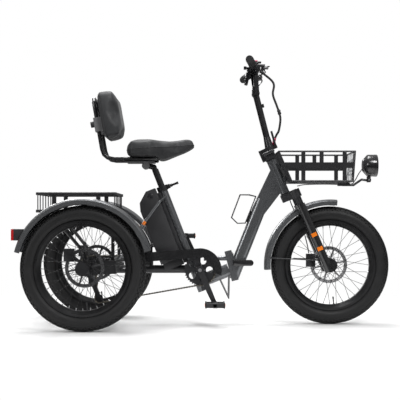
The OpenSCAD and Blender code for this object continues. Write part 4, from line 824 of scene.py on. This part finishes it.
chain_path = (arc(CRANK, RING_R, 90, -98, 40) + arc(TENSION, PULLEY_R, -98, -170, 10)
              + arc(GUIDE, PULLEY_R, 10, 55, 8) + arc(REAR_AXLE, COG_R, -35, -270, 34))
pins = spaced(chain_path, LINK)
plates = []
rollers = []
for i, (a, b) in enumerate(zip(pins, pins[1:] + pins[:1])):
    for s in (-1, 1):
        plates.append(link_plate(a, b, CHAIN_Y + s * (2.9 if i % 2 else 2.1) * MM, 3.9 * MM, 0.7 * MM))
    at = a + Vector((0, CHAIN_Y - 3.3 * MM, 0))
    rollers.append(lathe([(0.0018, 0), (0.0018, 0.0018), (0.0037, 0.0019), (0.0037, 0.0047), (0.0018, 0.0048),
                          (0.0018, 0.0066)], at, (0, 1, 0), 8))
finish_piece(joined("chain_plates", plates), CHAIN_STEEL, "rear_frame", ["chain"])
finish_piece(joined("chain_rollers", rollers), DARK_STEEL, "rear_frame")


# ---- pedals ---------------------------------------------------------------------------------


def pedal_piece(side, node, body):
    """A platform pedal: caged body with toothed edges, spindle and amber reflectors."""
    low, high = [Vector(c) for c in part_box(node)]
    axle = joint_place(f"{body}_turn")
    out = -1 if side == "right" else 1
    middle = Vector((axle.x, (low.y + high.y) / 2 + out * 0.001, axle.z))
    length = high.x - low.x
    width = high.y - low.y - 0.004
    deep = 0.021
    parts = []
    for k in (-1, 1):
        parts.append(block((0.009, width, deep), 0.0025, middle + Vector((k * (length / 2 - 0.0045), 0, 0))))
        parts.append(block((length - 0.006, 0.008, deep), 0.0025, middle + Vector((0, k * (width / 2 - 0.004), 0))))
        for j in range(8):
            for level in (-1, 1):
                at = middle + Vector((k * (length / 2 - 0.0045), (j - 3.5) * width / 8.6, level * (deep / 2 + 0.001)))
                parts.append(block((0.006, 0.006, 0.0035), 0.001, at, 1))
    parts.append(block((0.026, width, 0.024), 0.005, middle))
    for k in (-1, 1):
        parts.append(block((length - 0.01, 0.004, deep * 0.7), 0.0012, middle + Vector((0, k * width * 0.2, 0)), 1))
    obj = finish_piece(joined(f"{node}_cage", parts), BLACK_PLASTIC, body, [node])
    shade_by_angle(obj)
    spindle = [(0.009, 0), (0.009, 0.004), (0.006, 0.005), (0.006, width * 0.5)]
    foot = Vector((axle.x, axle.y - out * 0.0025, axle.z))
    turned(f"{node}_spindle", spindle, foot, (0, out, 0), STEEL, body, sides=16)
    lamps = []
    for k in (-1, 1):
        at = middle + Vector((k * (length / 2 + 0.0003), 0, 0))
        lamps.append(block((0.0025, width * 0.55, 0.012), 0.0008, at, 1))
    finish_piece(joined(f"{node}_reflectors", lamps), AMBER, body)


pedal_piece("right", "pedal_right", "right_pedal")
pedal_piece("left", "pedal_left", "left_pedal")


# ---- handlebar zone -------------------------------------------------------------------------


def lever_blade(side, node, body):
    """A cast brake lever: flat tapering blade with a ball at its end."""
    at = joint_place("right_brake_squeeze" if side < 0 else "left_brake_squeeze")
    route = [at + Vector(p) * MM for p in ((1, side * 3, 0), (16, side * 22, -3), (20, side * 38, -6),
                                           (17, side * 70, -10), (13, side * 100, -12), (10, side * 128, -14))]
    path = spline_points(route, 6)
    count = len(path)
    radii = [0.0062 - 0.0022 * i / count + (0.0016 if i > count - 5 else 0) for i in range(count)]
    verts, faces = sweep(path, radii, sides=14, squash=(0.62, 1.0), up=(1, 0, 0))
    blade = new_object(f"{node}_blade", verts, faces)
    finish_piece(blade, ALLOY, body, [node])
    turned(f"{node}_pivot", [(0.004, -0.0075), (0.0075, -0.0065), (0.0075, 0.0065), (0.004, 0.0075)], at, (0, 0, 1),
           DARK_METAL, body, sides=20)


lever_blade(-1, "brake_lever_right", "right_brake_lever")
lever_blade(1, "brake_lever_left", "left_brake_lever")

for side in (-1, 1):
    rib = [(0.0166, -0.0016), (0.01795, -0.0008), (0.01795, 0.0008), (0.0166, 0.0016)]
    ribs = [lathe(rib, bar_at(side * (212 + k * 7)), bar_axis(side), 28) for k in range(15)]
    name = "right" if side < 0 else "left"
    finish_piece(joined(f"grip_ribs_{name}", ribs), GRIP_RUBBER, "bars")
    turned(f"grip_collar_{name}", [(0.0168, -0.004), (0.0186, -0.003), (0.0186, 0.003), (0.0168, 0.004)],
           bar_at(side * 204), bar_axis(side), DARK_METAL, "bars", sides=28)

# display: screen on the sloping case behind the stem
display = bar_at(0) + mm(-50, 0, -36)
tilt = Matrix.Rotation(radians(12), 4, "Y")
screen = block((0.004, 0.05, 0.042), 0.0015, display + Vector((0.009, 0, 0)), turn=tilt)
finish_piece(joined("display_screen", [screen]), SCREEN, "bars")
keys = []
for k in range(3):
    at = display + Vector((0.004, (k - 1) * 0.014, -0.027))
    keys.append(block((0.004, 0.009, 0.005), 0.001, at, turn=tilt))
finish_piece(joined("display_keys", keys), BRACKET_GREY, "bars")

# thumb switch with its red button on the right controls
pod = bar_at(-118) + mm(8, 0, 15)
finish_piece(shade_by_angle(joined("switch_pod", [
    block((0.03, 0.022, 0.014), 0.004, pod),
    block((0.02, 0.012, 0.01), 0.003, pod + Vector((0.017, -0.002, 0.003)))])),
    GLOSS_PLASTIC, "bars")
button = block((0.017, 0.011, 0.007), 0.003, pod + Vector((0.002, -0.004, 0.0095)))
finish_piece(joined("switch_button", [button]), RED_PLASTIC, "bars")

# bell dome, and the clamp bolts of the stem
bell = bar_at(92) + mm(34, 0, -20)
turned("bell_dome", [(0.0162, -0.002), (0.0166, 0), (0.0155, 0.006), (0.012, 0.0115), (0.006, 0.0148),
                     (0.002, 0.0165)], bell, (0, 0, 1), GLOSS_BLACK, "bars")
turned("bell_rim", [(0.0168, -0.0035), (0.0172, -0.0015), (0.0168, 0.0005)], bell, (0, 0, 1), STEEL, "bars")


def bolt_head(place, axis, radius):
    """A round-headed bolt with a hollow hexagon."""
    profile = [(radius, -0.001), (radius, radius * 0.55), (radius * 0.8, radius * 0.8), (radius * 0.5, radius * 0.82),
               (radius * 0.46, radius * 0.35)]
    return lathe(profile, place, axis, 12)


def bolts(name, places, axis, radius, body, material=None):
    parts = [bolt_head(p, axis, radius) for p in places]
    return finish_piece(shade_by_angle(joined(name, parts)), material or STEEL, body)


bolts("stem_clamp_bolts", [bar_at(y) + mm(21.5, 0, z) for y in (-18, 18) for z in (-8, 8)], (1, 0, 0),
      0.0032, "bars")
bolts("stem_pivot_bolt", [STEM_PIVOT + Vector((0, 0.0295, 0))], (0, 1, 0), 0.007, "stem")


# ---- headlight ------------------------------------------------------------------------------

LAMP_LOW, LAMP_HIGH = [Vector(c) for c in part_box("headlight")]
LAMP_R = 52 * MM
lamp_at = Vector((LAMP_HIGH.x - 68 * MM, 0, LAMP_HIGH.z - LAMP_R))
shell_profile = [(0.02, 0.0005), (0.0265, 0.0005), (0.031, 0.004), (0.0505, 0.022), (0.0515, 0.026), (0.0515, 0.05),
                 (0.0502, 0.0508), (0.0502, 0.0528), (0.052, 0.0536), (0.052, 0.066), (0.0508, 0.068),
                 (0.0478, 0.068), (0.0466, 0.0662), (0.0462, 0.06)]
turned("headlight_shell", shell_profile, lamp_at, (1, 0, 0), GLOSS_BLACK, "lamp", ["headlight"], 64)
bowl = [(0.0462, 0.0605), (0.045, 0.055), (0.039, 0.045), (0.029, 0.0365), (0.017, 0.0318), (0.011, 0.0312),
        (0.0105, 0.034), (0.0005, 0.0345)]
turned("headlight_bowl", bowl, lamp_at, (1, 0, 0), REFLECTOR_BOWL, "lamp", (), 64)
lens = [(0.0005, 0.0664), (0.022, 0.0661), (0.038, 0.0652), (0.0461, 0.0632), (0.0461, 0.0612), (0.038, 0.0622),
        (0.0005, 0.0632)]
turned("headlight_lens", lens, lamp_at, (1, 0, 0), LENS, "lamp", (), 64)
fins = [lathe([(0.0505, 0), (0.0519, 0.0006), (0.0519, 0.002), (0.0505, 0.0026)], lamp_at + Vector((x * MM, 0, 0)),
              (1, 0, 0), 64) for x in (28, 33, 38, 43)]
finish_piece(joined("headlight_fins", fins), GLOSS_BLACK, "lamp")
ears = []
pivot = joint_place("lamp_tilt")
for s in (-1, 1):
    foot = Vector((pivot.x - 0.0, s * 9.2 * MM, (pivot.z + LAMP_LOW.z) / 2 + 0.007))
    ears.append(block((0.017, 0.0055, 0.028), 0.0025, foot))
finish_piece(joined("headlight_ears", ears), GLOSS_BLACK, "lamp")
turned("headlight_bolt", [(0.001, -0.016), (0.005, -0.0155), (0.005, -0.012), (0.0029, -0.0118), (0.0029, 0.0118),
                          (0.005, 0.012), (0.005, 0.0155), (0.001, 0.016)], pivot, (0, 1, 0), STEEL, "lamp",
       sides=12)


# ---- cables ---------------------------------------------------------------------------------


def free_cable(name, points, diameter, material, ride=None, blend=None):
    """A cable of the length of its own line, riding on one body, or left unattached in place when blend is given."""
    path = spline_points(points, 8)
    verts, faces = sweep(path, diameter / 2, sides=12)
    obj = new_object(name, verts, faces)
    obj.data.materials.append(material)
    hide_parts("cable_bundle", "cable_lower")
    if blend:
        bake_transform(obj)
    else:
        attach(obj, ride)
    return obj


def collar(name, place, axis, radius, length, material, body):
    half = length / 2
    profile = [(radius * 0.62, -half), (radius * 0.9, -half), (radius, -half + 0.0012), (radius, -half * 0.3),
               (radius * 0.88, -half * 0.22), (radius * 0.88, half * 0.22), (radius, half * 0.3),
               (radius, half - 0.0012), (radius * 0.9, half), (radius * 0.62, half)]
    return turned(name, profile, place, axis, material, body, sides=20)


# the sleeve hangs from the controls, turns in ahead of the stem, and ends in a red connector over the basket
sleeve_top = bar_at(0) + mm(38, 38, -4)
stem_mid = STEM_PIVOT + mm(113, 22, -84)
red_plug = Vector((HEAD.x - 50 * MM, 27 * MM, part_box("basket")[1][2] + 54 * MM))
upper_run = [sleeve_top, STEM_PIVOT + mm(86, 30, 56), STEM_PIVOT + mm(83, 18, 0),
             STEM_PIVOT + mm(100, 18, -50), stem_mid]
lower_run = [stem_mid, STEM_PIVOT + mm(119, 22, -118), STEM_PIVOT + mm(112, 24, -170),
             red_plug + mm(12, 0, 32), red_plug + mm(0, 0, 6)]
mid_clip = collar("sleeve_clip", stem_mid, (lower_run[1] - upper_run[3]), 0.0085, 0.022, BLACK_PLASTIC, "stem")
plug = collar("cable_connector", red_plug, (0.1, 0, 1), 0.0085, 0.034, RED_PLASTIC, "steering")
top_clip = collar("sleeve_collar", sleeve_top, upper_run[1] - sleeve_top, 0.009, 0.02, BLACK_PLASTIC, "bars")
free_cable("sleeve_upper", upper_run, 0.0105, SLEEVE,
           blend=("bars", "stem", upper_run[0], upper_run[4]))
free_cable("sleeve_lower", lower_run, 0.0105, SLEEVE,
           blend=("stem", "steering", lower_run[0], lower_run[4]))
below = red_plug + mm(0, 0, -6)
head_run = [below, Vector((HEAD.x - 56 * MM, 30 * MM, HEAD.z + 198 * MM)), steer(18, 27, 148), steer(6, 27, 60),
            steer(-18, 24.5, 20)]
free_cable("head_cable", head_run, 0.008, CABLE_BLACK,
           blend=("steering", "front_frame", head_run[0], head_run[3]))
# the hose of the front brake comes out under the crown and follows the left leg
hose_run = [steer(14, 62, -36), steer(13, 68, -60), steer(13, 69, -100), steer(13, 69, -150), steer(13, 69, -220),
            steer(4, 58, -275), steer(-6, 40, -308)]
hose_clip = collar("hose_outlet", hose_run[0], STEER_UP, 0.0048, 0.012, BLACK_PLASTIC, "steering")
free_cable("brake_hose_front", hose_run, 0.005, CABLE_BLACK,
           blend=("steering", "fork", hose_run[0], hose_run[2]))

# brake cables and control wires from the levers and switches to the sleeve's top
for k, (name, start, mid) in enumerate([
    ("right_brake", bar_at(-148) + mm(40, 0, -12), Vector((66, -62, 8))),
    ("left_brake", bar_at(148) + mm(40, 0, -12), Vector((58, 84, 4))),
    ("throttle", bar_at(-116) + mm(14, 0, -14), Vector((30, -50, -18))),
    ("switch", bar_at(112) + mm(16, 0, -12), Vector((36, 74, -16))),
]):
    offset = Vector((3.2 * cos(k * pi / 2 + 0.8), 3.2 * sin(k * pi / 2 + 0.8), 3)) * MM
    end = sleeve_top + offset
    brake = "brake" in name
    route = [start, start.lerp(bar_at(0) + mid * MM, 0.45) + mm(6 if brake else 2, 0, 3),
             bar_at(0) + mid * MM, end + mm(0, 0, 14), end]
    free_cable(f"{name}_cable", route, 0.0048 if brake else 0.0036, CABLE_BLACK, ride="bars")

# wire of the headlight, under the basket
lamp_wire = [lamp_at + mm(0.5, 14, -16), lamp_at + mm(-16, 16, -40),
             lamp_at + mm(-34, 18, -72), lamp_at + mm(-60, 19, -88),
             Vector((0.56, 0.02, 0.661)), Vector((0.47, 0.021, 0.659)), Vector((0.43, 0.022, 0.652))]
free_cable("headlight_wire", lamp_wire, 0.0045, CABLE_BLACK,
           blend=("lamp", "front_frame", lamp_wire[0], lamp_wire[2]))


# ---- reflectors, bolts and small fittings ---------------------------------------------------

# orange band round each seat stay
def crossing(mesh, polygons, x):
    """Where a bar's outline crosses a plane of that x: its points."""
    points = []
    for key in {k for i in polygons for k in mesh.polygons[i].edge_keys}:
        a, b = mesh.vertices[key[0]].co, mesh.vertices[key[1]].co
        if (a.x - x) * (b.x - x) < 0:
            points.append(a.lerp(b, (x - a.x) / (b.x - a.x)))
    return points


stays = NODES["frame_stays"].data
for polygons, low, high in solids_of(stays):
    if max(abs(low.y), abs(high.y)) > 0.109 or high.x - low.x < 0.2:
        continue
    cuts = [crossing(stays, polygons, x) for x in (-0.292, -0.29)]
    middle, beyond = [sum(c, Vector()) / len(c) for c in cuts]
    way = (beyond - middle).normalized()
    stay_r = min((p - middle - way * (p - middle).dot(way)).length for p in cuts[0])
    band = [(stay_r, -0.009), (stay_r + 0.0009, -0.009), (stay_r + 0.0012, -0.008), (stay_r + 0.0012, 0.008),
            (stay_r + 0.0009, 0.009), (stay_r, 0.009)]
    turned(f"stay_reflector_{'right' if low.y < 0 else 'left'}", band, middle, way, AMBER, "rear_frame",
           sides=24)

bolts("chainring_bolts", [CRANK + Vector((0.02 * cos(2 * pi * k / 5), CHAIN_Y - 0.0065, 0.02 * sin(2 * pi * k / 5)))
                          for k in range(5)], (0, -1, 0), 0.0036, "crank")


# ---- floor, light and camera ----------------------------------------------------------------

FLOOR_HALF = 40
floor_z = FRONT_AXLE.z - WHEEL_R - 0.0004
corners = [(x, y, floor_z) for x in (-FLOOR_HALF, FLOOR_HALF) for y in (-FLOOR_HALF, FLOOR_HALF)]
floor = new_object("floor", corners, [(0, 2, 3, 1)], smooth=False)
FLOOR = bpy.data.materials.new("floor_white")
FLOOR.use_nodes = True
tree = FLOOR.node_tree
ground = tree.nodes["Principled BSDF"]
ground.inputs["Base Color"].default_value = (0.9, 0.9, 0.9, 1)
ground.inputs["Roughness"].default_value = 0.8
where = tree.nodes.new("ShaderNodeNewGeometry")
far = tree.nodes.new("ShaderNodeVectorMath")
far.operation = "LENGTH"
tree.links.new(where.outputs["Position"], far.inputs[0])
fade = tree.nodes.new("ShaderNodeMapRange")
fade.interpolation_type = "SMOOTHSTEP"
for key, value in (("From Min", 0.75), ("From Max", 2.3)):
    fade.inputs[key].default_value = value
tree.links.new(far.outputs["Value"], fade.inputs["Value"])
clear = tree.nodes.new("ShaderNodeBsdfTransparent")
mixed = tree.nodes.new("ShaderNodeMixShader")
tree.links.new(fade.outputs["Result"], mixed.inputs[0])
tree.links.new(ground.outputs[0], mixed.inputs[1])
tree.links.new(clear.outputs[0], mixed.inputs[2])
tree.links.new(mixed.outputs[0], tree.nodes["Material Output"].inputs["Surface"])
floor.data.materials.append(FLOOR)


def area_light(name, place, target, size, power):
    data = bpy.data.lights.new(name, "AREA")
    data.shape = "DISK"
    data.size = size
    data.energy = power
    obj = bpy.data.objects.new(name, data)
    obj.location = place
    obj.rotation_euler = (Vector(target) - Vector(place)).to_track_quat("-Z", "Y").to_euler()
    bpy.context.scene.collection.objects.link(obj)


area_light("key", (1.6, -3.2, 3.4), (0, 0, 0.5), 1.6, 105)
area_light("fill", (-3.4, -2.6, 1.8), (0, 0, 0.5), 1.4, 34)
area_light("top", (-0.2, 0.4, 4.0), (0, 0, 0.4), 2.2, 120)
area_light("back", (-1.6, 3.2, 2.2), (0, 0, 0.6), 2.0, 60)

world = bpy.data.worlds.new("studio")
world.use_nodes = True
sky = world.node_tree.nodes["Background"]
sky.inputs["Strength"].default_value = 0.5
heading = world.node_tree.nodes.new("ShaderNodeTexCoord")
parts = world.node_tree.nodes.new("ShaderNodeSeparateXYZ")
shade = world.node_tree.nodes.new("ShaderNodeValToRGB")
shade.color_ramp.elements[0].position = 0.42
shade.color_ramp.elements[0].color = (0.12, 0.12, 0.12, 1)
shade.color_ramp.elements[1].position = 0.95
shade.color_ramp.elements[1].color = (1, 1, 1, 1)
half = world.node_tree.nodes.new("ShaderNodeMapRange")
half.inputs["From Min"].default_value = -1
world.node_tree.links.new(heading.outputs["Generated"], parts.inputs[0])
world.node_tree.links.new(parts.outputs["Z"], half.inputs["Value"])
world.node_tree.links.new(half.outputs["Result"], shade.inputs["Fac"])
world.node_tree.links.new(shade.outputs["Color"], sky.inputs["Color"])
seen = world.node_tree.nodes.new("ShaderNodeBackground")
seen.inputs["Color"].default_value = (1, 1, 1, 1)
seen.inputs["Strength"].default_value = 1.0
kind = world.node_tree.nodes.new("ShaderNodeLightPath")
either = world.node_tree.nodes.new("ShaderNodeMixShader")
world.node_tree.links.new(kind.outputs["Is Camera Ray"], either.inputs[0])
world.node_tree.links.new(sky.outputs[0], either.inputs[1])
world.node_tree.links.new(seen.outputs[0], either.inputs[2])
world.node_tree.links.new(either.outputs[0], world.node_tree.nodes["World Output"].inputs["Surface"])
bpy.context.scene.world = world

camera_data = bpy.data.cameras.new("camera")
camera_data.lens = 88.3
camera_data.sensor_width = 36
camera_data.shift_y = 0.0425
camera = bpy.data.objects.new("camera", camera_data)
camera.location = (-0.0315, -4.64, 0.505)
camera.rotation_euler = (radians(90), 0, 0)
bpy.context.scene.collection.objects.link(camera)
bpy.context.scene.camera = camera
bpy.context.scene.view_settings.view_transform = "Standard"
